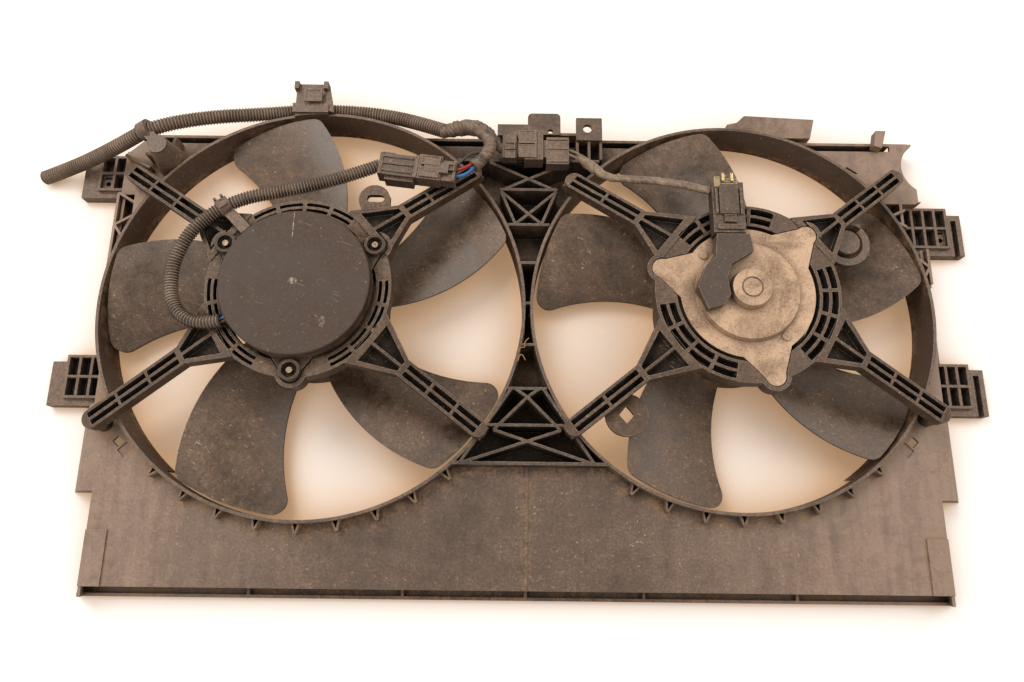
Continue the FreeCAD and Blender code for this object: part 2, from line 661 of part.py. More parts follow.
# -------------------------------------------------------------------------- motors
def motor(side, x, can_radius, rear_bush_top):
    inner = can_radius - can_wall
    bush_outer = shaft_radius + bearing_wall
    can_top = ear_seat
    wall = ring(x, duct_y, can_bottom, can_top, inner, can_radius)
    front = disc(x, duct_y, can_bottom, can_bottom + can_wall, can_radius)
    socket = disc(x, duct_y, can_bottom, can_bottom + bearing_length, bush_outer + can_wall)
    lip = ring(x, duct_y, can_top - can_wall, can_top, inner, can_radius + can_lip)
    can = fuse([wall, front, socket, lip])
    can = can.cut(disc(x, duct_y, can_bottom - 1, can_top, bush_outer))
    keep(side + "_motor_can", can)
    bore = shaft_radius + running_clearance
    bearings = [ring(x, duct_y, low, low + bearing_length, bore, bush_outer)
                for low in (can_bottom, rear_bush_top - bearing_length)]
    keep(side + "_motor_bearings", Part.makeCompound(bearings))
    keep(side + "_motor_shaft", disc(x, duct_y, 1.5, rear_bush_top - 0.5, shaft_radius))
    # two magnet shells on the can's wall
    magnet_outer = inner
    magnet_inner = magnet_outer - magnet_thickness
    shells = [turned(sector(magnet_inner, magnet_outer, start, 140, core_bottom - 4, core_top + 4),
                     0, x, duct_y) for start in (20, 200)]
    keep(side + "_motor_magnets", Part.makeCompound(shells))
    # slotted armature core, its windings and the commutator
    core_radius = magnet_inner - air_gap
    core = disc(0, 0, core_bottom, core_top, core_radius)
    slots = [turned(box(core_radius * 0.55, core_radius + 1, -1.6, 1.6, core_bottom - 1, core_top + 1),
                    k * 30.0) for k in range(12)]
    core = cut(core, slots + [disc(0, 0, 0, 100, shaft_radius + running_clearance)])
    keep(side + "_armature_core", turned(core, 0, x, duct_y))
    coils = [ring(0, 0, core_bottom - 3.0, core_bottom, commutator_radius + 2, core_radius * 0.9),
             ring(0, 0, core_top, core_top + 3.0, commutator_radius + 2, core_radius * 0.9)]
    fills = [turned(box(core_radius * 0.57, core_radius * 0.88, -1.5, 1.5, core_bottom, core_top),
                    k * 30.0) for k in range(12)]
    keep(side + "_armature_windings", turned(fuse(coils + fills), 0, x, duct_y))
    comm_top = ear_seat - 1.0
    keep(side + "_commutator",
         ring(x, duct_y, core_top + 0.2, comm_top, shaft_radius + running_clearance,
              commutator_radius))
    # brush holder plate with two boxes, and the carbon brushes in them
    plate_low, plate_high = core_top + 5.5, core_top + 7.5
    holder = ring(0, 0, plate_low, plate_high, commutator_radius + 2.5, inner - 0.3)
    brush_in, brush_out = commutator_radius + 0.3, commutator_radius + 13.0
    boxes, slots = [], []
    for angle in (0, 180):
        boxes.append(turned(box(brush_in + 4, brush_out + 3, -5, 5, plate_high - 0.5, comm_top), angle))
        slots.append(turned(box(brush_in, brush_out, -3.2, 3.2, plate_low - 1, comm_top - 1.2), angle))
    holder = cut(fuse([holder] + boxes), slots)
    keep(side + "_brush_holder", turned(holder, 0, x, duct_y))
    brushes = [turned(box(brush_in, brush_out - 0.5, -3, 3, plate_low - 0.8, comm_top - 1.4),
                      angle, x, duct_y) for angle in (0, 180)]
    keep(side + "_motor_brushes", Part.makeCompound(brushes))


def left_cover():
    # plastic cover with three ears, each with a sunk screw seat
    ear_top = ear_seat + 8.0
    inside = cover_radius - sheet
    shell = disc(0, 0, ear_seat, cover_top, cover_radius)
    shell = shell.makeFillet(1.2, [e for e in shell.Edges if abs(e.BoundBox.ZMin - cover_top) < 0.01
                                   and e.BoundBox.XLength > cover_radius])
    ears = []
    holes = [disc(0, 0, 0, cover_top - sheet, inside)]
    for angle in left_ear_angles:
        ears.append(turned(ear_outline(-0.6, ear_seat, ear_seat + 4.0, left_ring_radius), angle))
        cx, cy = polar(ear_hole_circle, angle)
        ears.append(disc(cx, cy, ear_seat, ear_top, 8.2))
        holes.append(disc(cx, cy, ear_seat + 3.5, ear_top + 10, 6.0))
        holes.append(disc(cx, cy, 0, ear_top, screw_radius + screw_clearance))
    whole = cut(fuse([shell] + ears), holes)
    # socket of the rear bearing under the cover
    bush = shaft_radius + bearing_wall
    socket = ring(0, 0, cover_top - sheet - 11, cover_top - sheet + 0.5, bush, bush + sheet)
    keep("left_motor_cover", turned(fuse([whole, socket]), 0, left_x, duct_y))


def right_end_plate():
    # pressed steel plate: flange with ears, raised step and bearing boss
    step_top = ear_seat + 7.0
    flange_radius = right_can_radius + can_lip
    bush = shaft_radius + bearing_wall
    flange = disc(0, 0, ear_seat, ear_seat + plate_thickness, flange_radius)
    cone = Part.makeCone(plate_step_radius + 3.0, plate_step_radius, step_top - ear_seat,
                         Vector(0, 0, ear_seat))
    boss = Part.makeCone(plate_boss_radius, plate_boss_radius - 1.5, plate_boss_top - step_top,
                         Vector(0, 0, step_top))
    solid = fuse([flange, cone, boss])
    hollow = fuse([disc(0, 0, 0, ear_seat, flange_radius + 1),
                   Part.makeCone(plate_step_radius + 1.0, plate_step_radius - 2.0,
                                 step_top - plate_thickness - ear_seat + 1, Vector(0, 0, ear_seat - 1)),
                   disc(0, 0, ear_seat, plate_boss_top - plate_thickness, bush)])
    solid = solid.cut(hollow)
    ears = [turned(ear_outline(0, ear_seat, ear_seat + plate_thickness, right_ring_radius), angle)
            for angle in right_ear_angles]
    ears = [ear.cut(disc(0, 0, 0, 100, flange_radius - 2.0)) for ear in ears]
    holes = []
    for angle in right_ear_angles:
        cx, cy = polar(ear_hole_circle, angle)
        holes.append(disc(cx, cy, 0, ear_seat + plate_thickness - 0.5, screw_radius + screw_clearance))
    whole = cut(fuse([solid] + ears), holes)
    # two rivet heads that hold the plate to the can
    for angle in (138.0, 307.0):
        rx, ry = polar(right_can_radius - 5.0, angle)
        whole = whole.fuse(disc(rx, ry, ear_seat + plate_thickness, ear_seat + plate_thickness + 1.2, 3.2))
    dimple = ring(0, 0, plate_boss_top - 1.0, plate_boss_top + 1, bush - 1.5, bush)
    keep("right_motor_end_plate", turned(whole.cut(dimple), 0, right_x, duct_y))


def motor_screws(name, x, angles, top):
    # three screws put in from the radiator side
    screws = []
    for angle in angles:
        cx, cy = polar(ear_hole_circle, angle, x, duct_y)
        shank = disc(cx, cy, carrier_bottom - 2, top, screw_radius)
        head = disc(cx, cy, carrier_bottom - 4, carrier_bottom, 5.0)
        head = head.cut(prism([polar(2.6, k * 60.0, cx, cy) for k in range(6)],
                              carrier_bottom - 5, carrier_bottom - 1.8))
        screws.append(shank.fuse(head))
    keep(name, Part.makeCompound(screws))


def insulator():
    # boomerang-shaped cover over the right motor's terminals
    low = ear_seat + plate_thickness + seam
    outline = [(-25, 44), (1, 44), (3, 30), (-5, 25), (-15, 19), (-19, 8), (-17, -6),
               (-22, -14), (-35, -18), (-42, 0), (-36, 16), (-27, 25)]
    plan = prism(outline, low, cover_top - 1)
    inside = disc(0, 0, 0, plate_boss_top + 3, plate_boss_radius + 1.0)
    rise = Part.makeCone(plate_step_radius + 3.0 + seam, plate_step_radius + seam,
                         ear_seat + 7.0 - ear_seat, Vector(0, 0, ear_seat))
    step = disc(0, 0, 0, ear_seat + 7.0 + seam, plate_step_radius + seam)
    cover = cut(plan, [inside, rise, step])
    for angle in (138.0, 307.0):
        rx, ry = polar(right_can_radius - 5.0, angle)
        cover = cover.cut(disc(rx, ry, 0, low + 1.4, 3.6))
    keep("right_motor_insulator", turned(cover, 0, right_x, duct_y))


# -------------------------------------------------------- brackets and other fixtures
def side_bracket(name, block, columns, with_hole=False):
    # a block of two rows of deep pockets, and the lower plate outside it
    side, start, reach, low, plate_high, high = block
    edge = left_edge if side < 0 else right_edge
    plate_z = bracket_height - 4.0

    def slab(a, b, y0, y1, z0, z1):
        return span(edge + side * a, edge + side * b, duct_y + y0, duct_y + y1, z0, z1)

    body = fuse([slab(start, reach, low + block_foot - rib, high, 0, bracket_height),
                 slab(start, bracket_reach, low, plate_high, 0, plate_z)])
    cuts = []
    cell_x = (reach - start - rib) / columns
    cell_y = (high - low - block_foot) / 2
    for i in range(columns):
        for j in range(2):
            a = start + rib + i * cell_x
            b = a + cell_x - rib
            y0 = high - (j + 1) * cell_y
            y1 = y0 + cell_y - rib
            if with_hole and i == columns - 1 and j == 1:
                # solid cell with the fixing hole and a slit above it
                hole_y = duct_y + y0 + 0.42 * (y1 - y0)
                cuts.append(slab(a, b, y0, y1, plate_z, bracket_height + 1))
                cuts.append(slab(a + 1, b - 1, y1 - 3.5, y1 - 1.5, 3.0, bracket_height))
                cuts.append(disc(edge + side * (a + b) / 2, hole_y, -1, bracket_height,
                                 bracket_hole_radius))
            else:
                cuts.append(slab(a, b, y0, y1, 3.0, bracket_height + 1))
    if side > 0:
        # long slot along the outer edge
        cuts.append(slab(bracket_reach - 9.0, bracket_reach - 4.0, low - 1, plate_high - 5,
                         3.0, plate_z + 1))
    body = cut(body, cuts + barrel_cutters(-1, duct_height))
    keep(name, body)


def side_brackets():
    side_bracket("upper_left_bracket", upper_left_block, 2, True)
    side_bracket("lower_left_bracket", lower_left_block, 3)
    side_bracket("upper_right_bracket", upper_right_block, 4, True)
    side_bracket("lower_right_bracket", lower_right_block, 3)


def conduit_clip():
    # bridge over the conduit on the larger barrel's crown, with two horns at its outer corners
    x0, x1 = left_x - 28.0, left_x + 1.0
    crown = duct_y + left_duct_outer
    top = duct_height + 3.0
    roof = box(x0, x1, duct_y + 150, clip_top, top - 3.0, top)
    outer_wall = box(x0 + 3, x1 - 3, clip_top - 3, clip_top, apron_height - 4, top)
    side_flange = prism([(x1 - 2, crown + 1), (x1 + 6, crown - 1), (x1, clip_top), (x1 - 2, clip_top)],
                        top - 3, top + 1)
    foot = box(x0 + 4, x1 - 3, crown - 12, crown + 3.5, apron_height - 2, top)
    horns = [box(x0 - 1, x0 + 3, clip_top - 7, clip_top, top - 3, top + 5),
             box(x1 - 4, x1, clip_top - 7, clip_top, top - 3, top + 5)]
    step = box(x0 - 2, x1 + 1, crown - 2, crown + 7, top - 1, top + 2.5)
    clip = fuse([roof, outer_wall, side_flange, foot, step] + horns)
    clip = clip.cut(disc(left_x, duct_y, -1, duct_height + seam, left_duct_outer + seam))
    clip = clip.cut(disc(left_x, duct_y, duct_height, top + 5, left_duct_radius))
    # channel for the conduit
    channel = box(x0 - 5, x1 + 9, crown + 0.2, clip_top - 4.0, -1, top - 3.0)
    clip = clip.cut(channel).cut(hose(main_route, conduit_radius + 0.3))
    keep("conduit_clip", clip)


def boss_place():
    return polar(left_duct_outer + boss_stand_off, boss_angle, left_x, duct_y)


def corner_boss():
    # tapered hollow post on the upper left corner
    x, y = boss_place()
    body = Part.makeCone(boss_foot_radius, boss_radius, boss_top - apron_height,
                         Vector(x, y, apron_height))
    body = body.cut(disc(x, y, apron_height + 3, boss_top + 1, 4.0))
    webs = [turned(box(6.0, boss_foot_radius + 6, -rib / 2, rib / 2, apron_height,
                       boss_top - 20), angle, x, y) for angle in (75, 172)]
    hole = disc(x, y, apron_height + 3, boss_top + 1, 4.0)
    body = cut(fuse([body] + webs), barrel_cutters(0, duct_height + seam) + [hole])
    keep("corner_boss", body)


def boss_clip():
    # push-in foot on the boss and the band round the conduit
    x, y = boss_place()
    here, there = Vector(*main_route[2]), Vector(*main_route[3])
    along = (there - here).normalize()
    centre = there - along * 6.0
    foot = disc(x, y, boss_top, boss_top + 2.5, boss_radius)
    stem = disc(x, y, boss_top - 12, boss_top, 3.9)
    bridge = stiffener((x, y), (centre.x, centre.y), boss_top, boss_top + 2.5, 9.0)
    outer = Part.makeCylinder(conduit_radius + 2.2, 9.0, centre - along * 4.5, along)
    inner = hose(main_route, conduit_radius + 0.4)
    body = fuse([foot, stem, bridge, outer]).cut(inner)
    keep("boss_clip", body)


def fixing_tabs():
    # raised connector shelf and the two upper tabs
    shelf_low = apron_height
    tabs_y = plate_top - 9.0
    tab_bottom = tab_height - 4.0
    x0 = waist_offset - 28.0
    back = box(x0, waist_offset + 28, plate_top - sheet, plate_top,
               shelf_low, tab_height - 2)
    ledge = box(x0, waist_offset - 1, plate_top - 4, plate_top + 7, tab_bottom - 2, tab_height - 2)
    first = box(waist_offset - 1, waist_offset + 28, plate_top - 4, plate_top + 17,
                tab_bottom, tab_height)
    corners = [e for e in first.Edges if e.BoundBox.ZLength > 3 and e.BoundBox.YMax > plate_top + 15]
    first = first.makeFillet(4.0, corners)
    notch = disc(waist_offset + 19, plate_top - 1, tab_bottom - 1, tab_height + 1, 2.4)
    second_x = waist_offset + 42.0
    second = box(second_x, second_x + 23, tabs_y, plate_top + 13, tab_bottom, tab_height)
    walls = [box(second_x + dx, second_x + dx + rib, tabs_y - 22, tabs_y + 4, shelf_low, tab_bottom + 1)
             for dx in (0, 10.4, 20.8)]
    walls.append(box(second_x, second_x + 23, tabs_y - 22, tabs_y - 22 + rib, shelf_low, tab_bottom + 1))
    walls.append(box(second_x, second_x + 23, tabs_y, tabs_y + rib, shelf_low, tab_bottom + 1))
    hole = disc(second_x + 10.0, plate_top + 2.5, shelf_low, tab_height + 1, tab_hole_radius)
    link = box(waist_offset + 27, second_x + 1, plate_top - sheet, plate_top,
               shelf_low, tab_bottom)
    body = fuse([back, ledge, first, second, link] + walls).cut(notch).cut(hole)
    body = cut(body, barrel_cutters(0, duct_height + 5))
    # slots let the lattice's cross rib pass
    gap = box(waist_offset - 80, waist_offset + 80, duct_y + 130, duct_y + 135 + rib, 0,
              duct_height + seam)
    body = body.cut(gap)
    keep("fixing_tabs", body)


def top_flap():
    # thin shelf outside the smaller barrel's crown
    x0 = right_x + 3.5
    crown = duct_y + right_duct_outer
    outline = [(x0, crown), (x0 + 4, crown + 7), (x0 + 13, crown + 9),
               (x0 + 20, crown + 16), (x0 + 83, crown + 13), (x0 + 78, crown - 6)]
    shelf = prism(outline + [(x0, crown - 6)], apron_height + 5.5, apron_height + 8)
    skirt = box(x0 + 50, x0 + 78, crown - 6, crown - 6 + sheet, apron_height + seam,
                apron_height + 8)
    body = cut(fuse([shelf, skirt]), barrel_cutters(0, duct_height + 1))
    keep("top_flap", body)


def corner_post():
    # small upright beside the hose bay
    x0 = right_x + 138.0
    post = prism([(x0, plate_top - 7), (x0 + 3, plate_top + 8), (x0 + 12, plate_top + 8),
                  (x0 + 7, plate_top - 9)], apron_height, apron_height + 9)
    keep("corner_post", post)


def ring_clip():
    # open coil clip that hangs beside the upper right arm of the right carrier
    x, y = polar(107.5, 29.5, right_x, duct_y)
    coil = ring(x, y, 47.0, 53.0, 13.5, 19.5)
    slot_x, slot_y = polar(16.5, 215.0, x, y)
    coil = coil.cut(disc(slot_x, slot_y, 40, 60, 4.5))
    base_x, base_y = polar(19.0, 45.0, x, y)
    end_x, end_y = polar(107.5, right_arms[0][0] - 4.1, right_x, duct_y)
    link = stiffener((base_x - 4, base_y - 4), (end_x, end_y), 49.0, 61.0, 9.0)
    lobe = disc(end_x, end_y, 49.0, 63.0, 5.5)
    body = coil.fuse([link, lobe]).cut(disc(x, y, 40, 70, 13.5))
    # stand clear of the arm's side by a hair: it snaps on there
    cutter = turned(box(60, 150, -arm_width / 2 - 0.2, 40, 53.4, 100), right_arms[0][0],
                    right_x, duct_y)
    body = body.cut(cutter)
    keep("ring_clip", body)


# ------------------------------------------------------------------------- harness
# routes of the harness about the frame of the plate
crown_y = duct_y + left_duct_outer
boss_x, boss_y = boss_place()
main_route = ((boss_x - 124, boss_y - 7, 5.8), (boss_x - 87, boss_y - 1, 19),
              (boss_x - 41, boss_y + 5, 44), (boss_x - 7, boss_y + 16, 58.5),
              (left_x - 104, crown_y - 12, 47), (left_x - 54, crown_y + 1, 32),
              (left_x - 14, crown_y + 7.2, 28), (left_x + 34, crown_y + 5.5, 28),
              (left_x + 74, crown_y - 4, 33), (waist_offset - 74, plate_top - 6.5, 46))
branch_route = ((waist_offset - 125, plate_top - 53, 69.5), (waist_offset - 157, plate_top - 68.5, 74),
                (left_x - 16, duct_y + 82, 79), (left_x - 54, duct_y + 73, 81.5),
                (left_x - 84, duct_y + 52, 82), (left_x - 98, duct_y + 24, 82),
                (left_x - 99, duct_y, 82.5), (left_x - 94, duct_y - 18, 84.5),
                (left_x - 82, duct_y - 30, 86), (left_x - 67, duct_y - 33, 86.3),
                (left_x - 55, duct_y - 30.5, 86.3))
lead_route = ((waist_offset + 35, plate_top - 25.5, 44), (waist_offset + 47, plate_top - 37.5, 53),
              (waist_offset + 65, plate_top - 58.5, 64), (right_x - 70.5, duct_y + 96, 75),
              (right_x - 27.3, duct_y + 82.5, 86))
wrap_route = ((waist_offset - 74, plate_top - 6.5, 46), (waist_offset - 47, plate_top - 7.5, 56),
              (waist_offset - 31, plate_top - 29.5, 63), (waist_offset - 48, plate_top - 53.5, 68))
wrap_branch_route = ((waist_offset - 38, plate_top - 15, 47.3), (waist_offset - 31, plate_top - 18.5, 46),
                     (waist_offset - 20, plate_top - 24.5, 44))


def hose(route, radius, name=None):
    # straight runs joined by tangent arcs that are as large as the runs allow
    points = [Vector(*p) for p in route]
    edges = []
    here = points[0]
    smallest = None
    for before, corner, after in zip(points, points[1:], points[2:]):
        back = (before - corner).normalize()
        ahead = (after - corner).normalize()
        turn = math.pi - back.getAngle(ahead)
        reach = 0.45 * min((before - corner).Length, (after - corner).Length)
        bend = reach / math.tan(turn / 2)
        smallest = bend if smallest is None else min(smallest, bend)
        start = corner + back * reach
        end = corner + ahead * reach
        inward = (back + ahead).normalize()
        centre = corner + inward * math.hypot(reach, bend)
        crest = centre - inward * bend
        edges.append(Part.LineSegment(here, start).toShape())
        edges.append(Part.Arc(start, crest, end).toShape())
        here = end
    edges.append(Part.LineSegment(here, points[-1]).toShape())
    path = Part.Wire(edges)
    section = Part.Wire(Part.makeCircle(radius, points[0], points[1] - points[0]))
    tube = path.makePipeShell([section], True, False)
    if name:
        ideal = math.pi * radius ** 2 * path.Length
        print(f"{name}: length {path.Length:.0f}, tightest radius {smallest:.1f},",
              f"volume {tube.Volume / ideal:.4f} of section times length")
    return tube


def main_conduit():
    keep("main_conduit", hose(main_route, conduit_radius, "main_conduit"))


def branch_conduit():
    keep("branch_conduit", hose(branch_route, branch_radius, "branch_conduit"))


def motor_lead():
    keep("right_motor_lead", hose(lead_route, lead_radius, "right_motor_lead"))


def harness_wrap():
    # taped stem between the conduit and the left plug, and the taped branch to the middle plug
    stem = hose(wrap_route, wrap_radius)
    branch = hose(wrap_branch_route, wrap_branch_radius)
    # flush with the end of the conduit and the face of the middle plug
    run = Vector(*main_route[-1]) - Vector(*main_route[-2])
    cap = Part.makeCylinder(wrap_radius * 3, 12, Vector(*main_route[-1]), run * -1)
    face = box(waist_offset - 23, waist_offset - 7, plate_top - 60, plate_top, duct_height - 6, 60)
    keep("harness_wrap", Part.makeCompound([stem.cut(cap), branch.cut(face)]))


def along_connector(shape):
    # the left plug and socket lie along a line that falls slightly to the right
    copy = shape.copy()
    copy.rotate(Vector(0, 0, 0), Vector(0, 0, 1), -6.8)
    copy.translate(Vector(waist_offset - 124.5, plate_top - 53.1, 70))
    return copy


def left_connector():
    socket = fuse([box(0, 33, -10, 9, -8, 6), box(6, 30, -13, -4, -9.5, 3), box(2, 12, 4, 11, -6, 4)])
    plug = fuse([box(33, 52, -10.5, 11, -7, 7.5), box(52, 64, -9, 9, -7, 5),
                 box(38, 58, -4, 4, 5, 9)])
    keep("left_socket", along_connector(socket))
    keep("left_plug", along_connector(plug))


def plug_wires():
    # red and blue wires out of the left plug
    start = along_connector(Part.Vertex(64, 0, 0)).Vertexes[0].Point
    end = Vector(*wrap_route[-1])
    aim = (end - start)
    wires = []
    for shift in (-2.2, 2.2):
        a = start + Vector(0, shift, 0)
        wires.append(Part.makeCylinder(wire_radius + 0.5, aim.Length, a, aim))
    body = Part.makeCompound(wires)
    keep("left_plug_wires", body.cut(placed("harness_wrap")))


def motor_wires():
    # two wires out of the branch conduit into the left motor's cover
    tail = Vector(*branch_route[-1])
    along = (tail - Vector(*branch_route[-2])).normalize()
    wires = [Part.makeCylinder(wire_radius, 12, tail + Vector(0, shift, 0) + along * 0.8, along)
             for shift in (-2.6, 2.6)]
    body = Part.makeCompound(wires)
    body = body.cut(disc(left_x, duct_y, 60, cover_top, cover_radius + 0.1))
    keep("left_motor_wires", body)


def middle_connector():
    base = duct_height + seam
    top = base + 14.0
    plug = fuse([box(-23, -11, -32.5, -11.5, base + 2, top - 1),
                 box(-11, -4, -28.5, -15.5, base, top - 3)])
    socket = fuse([box(-4, 12, -35.5, -7.5, base, top + 1), box(-10, -4, -15, -7.5, base, top + 1),
                   box(12, 15, -31.5, -15.5, base, top - 2)])
    keeper = box(15, 34.5, -38, -12.5, base, top - 2)
    keep("middle_plug", turned(plug, 0, waist_offset, plate_top))
    keep("middle_socket", turned(socket, 0, waist_offset, plate_top))
    keep("middle_socket_holder", turned(keeper, 0, waist_offset, plate_top))


def motor_connector():
    body = fuse([box(-27, -2, 45, 88, carrier_top, carrier_top + 12),
                 box(-22, -7, 60, 84, carrier_top + 12, carrier_top + 14.5)])
    body = body.cut(box(-24, -5, 84.5, 89, carrier_top + 3, carrier_top + 10))
    keep("right_motor_connector", turned(body, 0, right_x, duct_y))


def edge_clip():
    # band round the branch conduit with a foot on the left motor ring
    here, there = Vector(*branch_route[3]), Vector(*branch_route[4])
    along = (there - here).normalize()
    centre = here + along * 12.0
    outer = Part.makeCylinder(branch_radius + 2.2, 10, centre - along * 5, along)
    inner = hose(branch_route, branch_radius + 0.4)
    angle = math.degrees(math.atan2(centre.y - duct_y, centre.x - left_x))
    foot = turned(box(carrier_outer_radius - 9, carrier_outer_radius + 17, -4.5, 4.5,
                      carrier_top, carrier_top + 3),
                  angle, left_x, duct_y)
    body = fuse([outer, foot]).cut(inner).cut(placed("left_motor_carrier"))
    keep("edge_clip", body)


# --------------------------------------------------------------------------- build
lower_plate()
left_side_plate()
right_side_plate()
lower_lattice()
upper_lattice()
barrel("left_barrel", left_x, left_duct_radius, [270.0 + gusset_pitch * k for k in range(-4, 5)])
barrel("right_barrel", right_x, right_duct_radius, [270.0 + gusset_pitch * k for k in range(-3, 5)])
left_carrier()
right_carrier()
fan("left_fan", left_x, left_duct_radius, left_blade_angles)
fan("right_fan", right_x, right_duct_radius, right_blade_angles)
fan_nut("left_fan_nut", left_x)
fan_nut("right_fan_nut", right_x)
motor("left", left_x, left_can_radius, cover_top - sheet)
motor("right", right_x, right_can_radius, plate_boss_top - plate_thickness)
left_cover()
right_end_plate()
motor_screws("left_motor_screws", left_x, left_ear_angles, ear_seat + 7.0)
motor_screws("right_motor_screws", right_x, right_ear_angles, ear_seat + 1.0)
insulator()
side_brackets()
conduit_clip()
corner_boss()
boss_clip()
fixing_tabs()
top_flap()
corner_post()
ring_clip()
main_conduit()
branch_conduit()
motor_lead()
harness_wrap()
left_connector()
plug_wires()
motor_wires()
middle_connector()
motor_connector()
edge_clip()

os.makedirs("parts", exist_ok=True)
for node, shape in made.items():
    shape.exportStep(f"parts/{node}.step")
    print(f"{node}: {len(shape.Solids)} solids, valid {shape.isValid()}, {shape.Volume / 1000:.1f} cm3")
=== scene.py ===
# Radiator fan shroud: finishes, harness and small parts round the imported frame
import math

import bmesh
import bpy
from mathutils import Matrix, Vector


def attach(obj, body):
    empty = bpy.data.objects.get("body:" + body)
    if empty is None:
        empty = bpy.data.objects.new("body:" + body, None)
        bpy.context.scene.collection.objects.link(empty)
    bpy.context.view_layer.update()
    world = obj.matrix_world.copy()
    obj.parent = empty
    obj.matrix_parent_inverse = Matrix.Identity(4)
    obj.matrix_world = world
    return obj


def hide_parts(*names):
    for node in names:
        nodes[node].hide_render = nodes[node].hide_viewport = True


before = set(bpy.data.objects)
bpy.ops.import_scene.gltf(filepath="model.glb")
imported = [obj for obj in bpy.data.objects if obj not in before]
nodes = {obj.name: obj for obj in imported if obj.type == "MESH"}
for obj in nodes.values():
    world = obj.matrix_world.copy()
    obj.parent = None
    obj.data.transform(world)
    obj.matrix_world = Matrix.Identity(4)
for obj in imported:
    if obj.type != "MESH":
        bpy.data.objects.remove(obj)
bpy.ops.object.select_all(action="DESELECT")
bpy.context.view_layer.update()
mm = 0.001
middleY = 221.25  # mm from the lower edge of the part to the middle of the scene
print("frame loaded:", len(nodes), "nodes")


# small helpers

def linearColour(hexText, alpha=1.0):
    values = [int(hexText[i:i + 2], 16) / 255 for i in (1, 3, 5)]
    return tuple(v / 12.92 if v <= 0.04045 else ((v + 0.055) / 1.055) ** 2.4 for v in values) + (alpha,)


def addNode(tree, kind, settings=None, links=None):
    # settings are properties or input values, links go from other nodes' outputs
    node = tree.nodes.new(kind)
    for key, value in (settings or {}).items():
        if isinstance(key, str) and hasattr(node, key):
            setattr(node, key, value)
        else:
            node.inputs[key].default_value = value
    for key, source in (links or {}).items():
        tree.links.new(source, node.inputs[key])
    return node


def newMaterial(name):
    material = bpy.data.materials.new(name)
    material.use_nodes = True
    material.node_tree.nodes.clear()
    return material, material.node_tree


def finishMaterial(tree, links, settings=None):
    shader = addNode(tree, "ShaderNodeBsdfPrincipled", settings, links)
    addNode(tree, "ShaderNodeOutputMaterial", None, {"Surface": shader.outputs[0]})


def ramp(tree, source, low, high, toLow=0.0, toHigh=1.0):
    return addNode(tree, "ShaderNodeMapRange",
                   {"clamp": True, "From Min": low, "From Max": high, "To Min": toLow, "To Max": toHigh},
                   {"Value": source}).outputs[0]


def maths(tree, operation, a, b=0.0):
    links = {i: v for i, v in ((0, a), (1, b)) if isinstance(v, bpy.types.NodeSocket)}
    settings = {i: v for i, v in ((0, a), (1, b)) if not isinstance(v, bpy.types.NodeSocket)}
    settings["operation"] = operation
    return addNode(tree, "ShaderNodeMath", settings, links).outputs[0]


def mixColour(tree, amount, first, second):
    # first and second are hex colours or sockets
    settings, links = {"data_type": "RGBA"}, {}
    for key, value in ((0, amount), (6, first), (7, second)):
        if isinstance(value, bpy.types.NodeSocket):
            links[key] = value
        else:
            settings[key] = linearColour(value) if isinstance(value, str) else value
    return addNode(tree, "ShaderNodeMix", settings, links).outputs[2]


def noise(tree, coordinates, size, detail=4.0, roughness=0.55, distortion=0.0):
    # size is the width of the pattern's larger lumps in millimetres
    return addNode(tree, "ShaderNodeTexNoise",
                   {"Scale": 1.0 / (size * mm), "Detail": detail, "Roughness": roughness,
                    "Distortion": distortion}, {"Vector": coordinates}).outputs[0]


def drawnNoise(tree, coordinates, length, width, turn, detail=1.5):
    # noise drawn out along one direction of the plate, sizes in millimetres
    turned = addNode(tree, "ShaderNodeMapping", {"Rotation": (0.0, 0.0, math.radians(turn))},
                     {"Vector": coordinates})
    drawn = addNode(tree, "ShaderNodeMapping",
                    {"Scale": (1.0 / (length * mm), 1.0 / (width * mm), 1.0 / (length * mm))},
                    {"Vector": turned.outputs[0]})
    return addNode(tree, "ShaderNodeTexNoise", {"Scale": 1.0, "Detail": detail, "Roughness": 0.5},
                   {"Vector": drawn.outputs[0]}).outputs[0]


def scratches(tree, coordinates, length, width, turn, share):
    # long thin marks with sharp sides
    softness = 0.03
    lines = drawnNoise(tree, coordinates, length, width, turn)
    return ramp(tree, lines, 1.0 - share, 1.0 - share + softness)


def openness(tree, reach, samples=6):
    # how open a place lies, 1 on a free face and less in a corner; reach in millimetres
    return addNode(tree, "ShaderNodeAmbientOcclusion",
                   {"samples": samples, "Distance": reach * mm}).outputs["AO"]


def roundedEdges(tree, surface, width):
    # the normal with its edges rounded over a width in mm, and how far it agrees with the true one
    rounded = addNode(tree, "ShaderNodeBevel", {"samples": 4, "Radius": width * mm}).outputs[0]
    turn = addNode(tree, "ShaderNodeVectorMath", {"operation": "DOT_PRODUCT"},
                   {0: rounded, 1: surface.outputs["Normal"]}).outputs["Value"]
    return rounded, turn


# finishes

edgeFlat, edgeTurned = 0.985, 0.88  # agreement of the normals beside an edge and on its crest

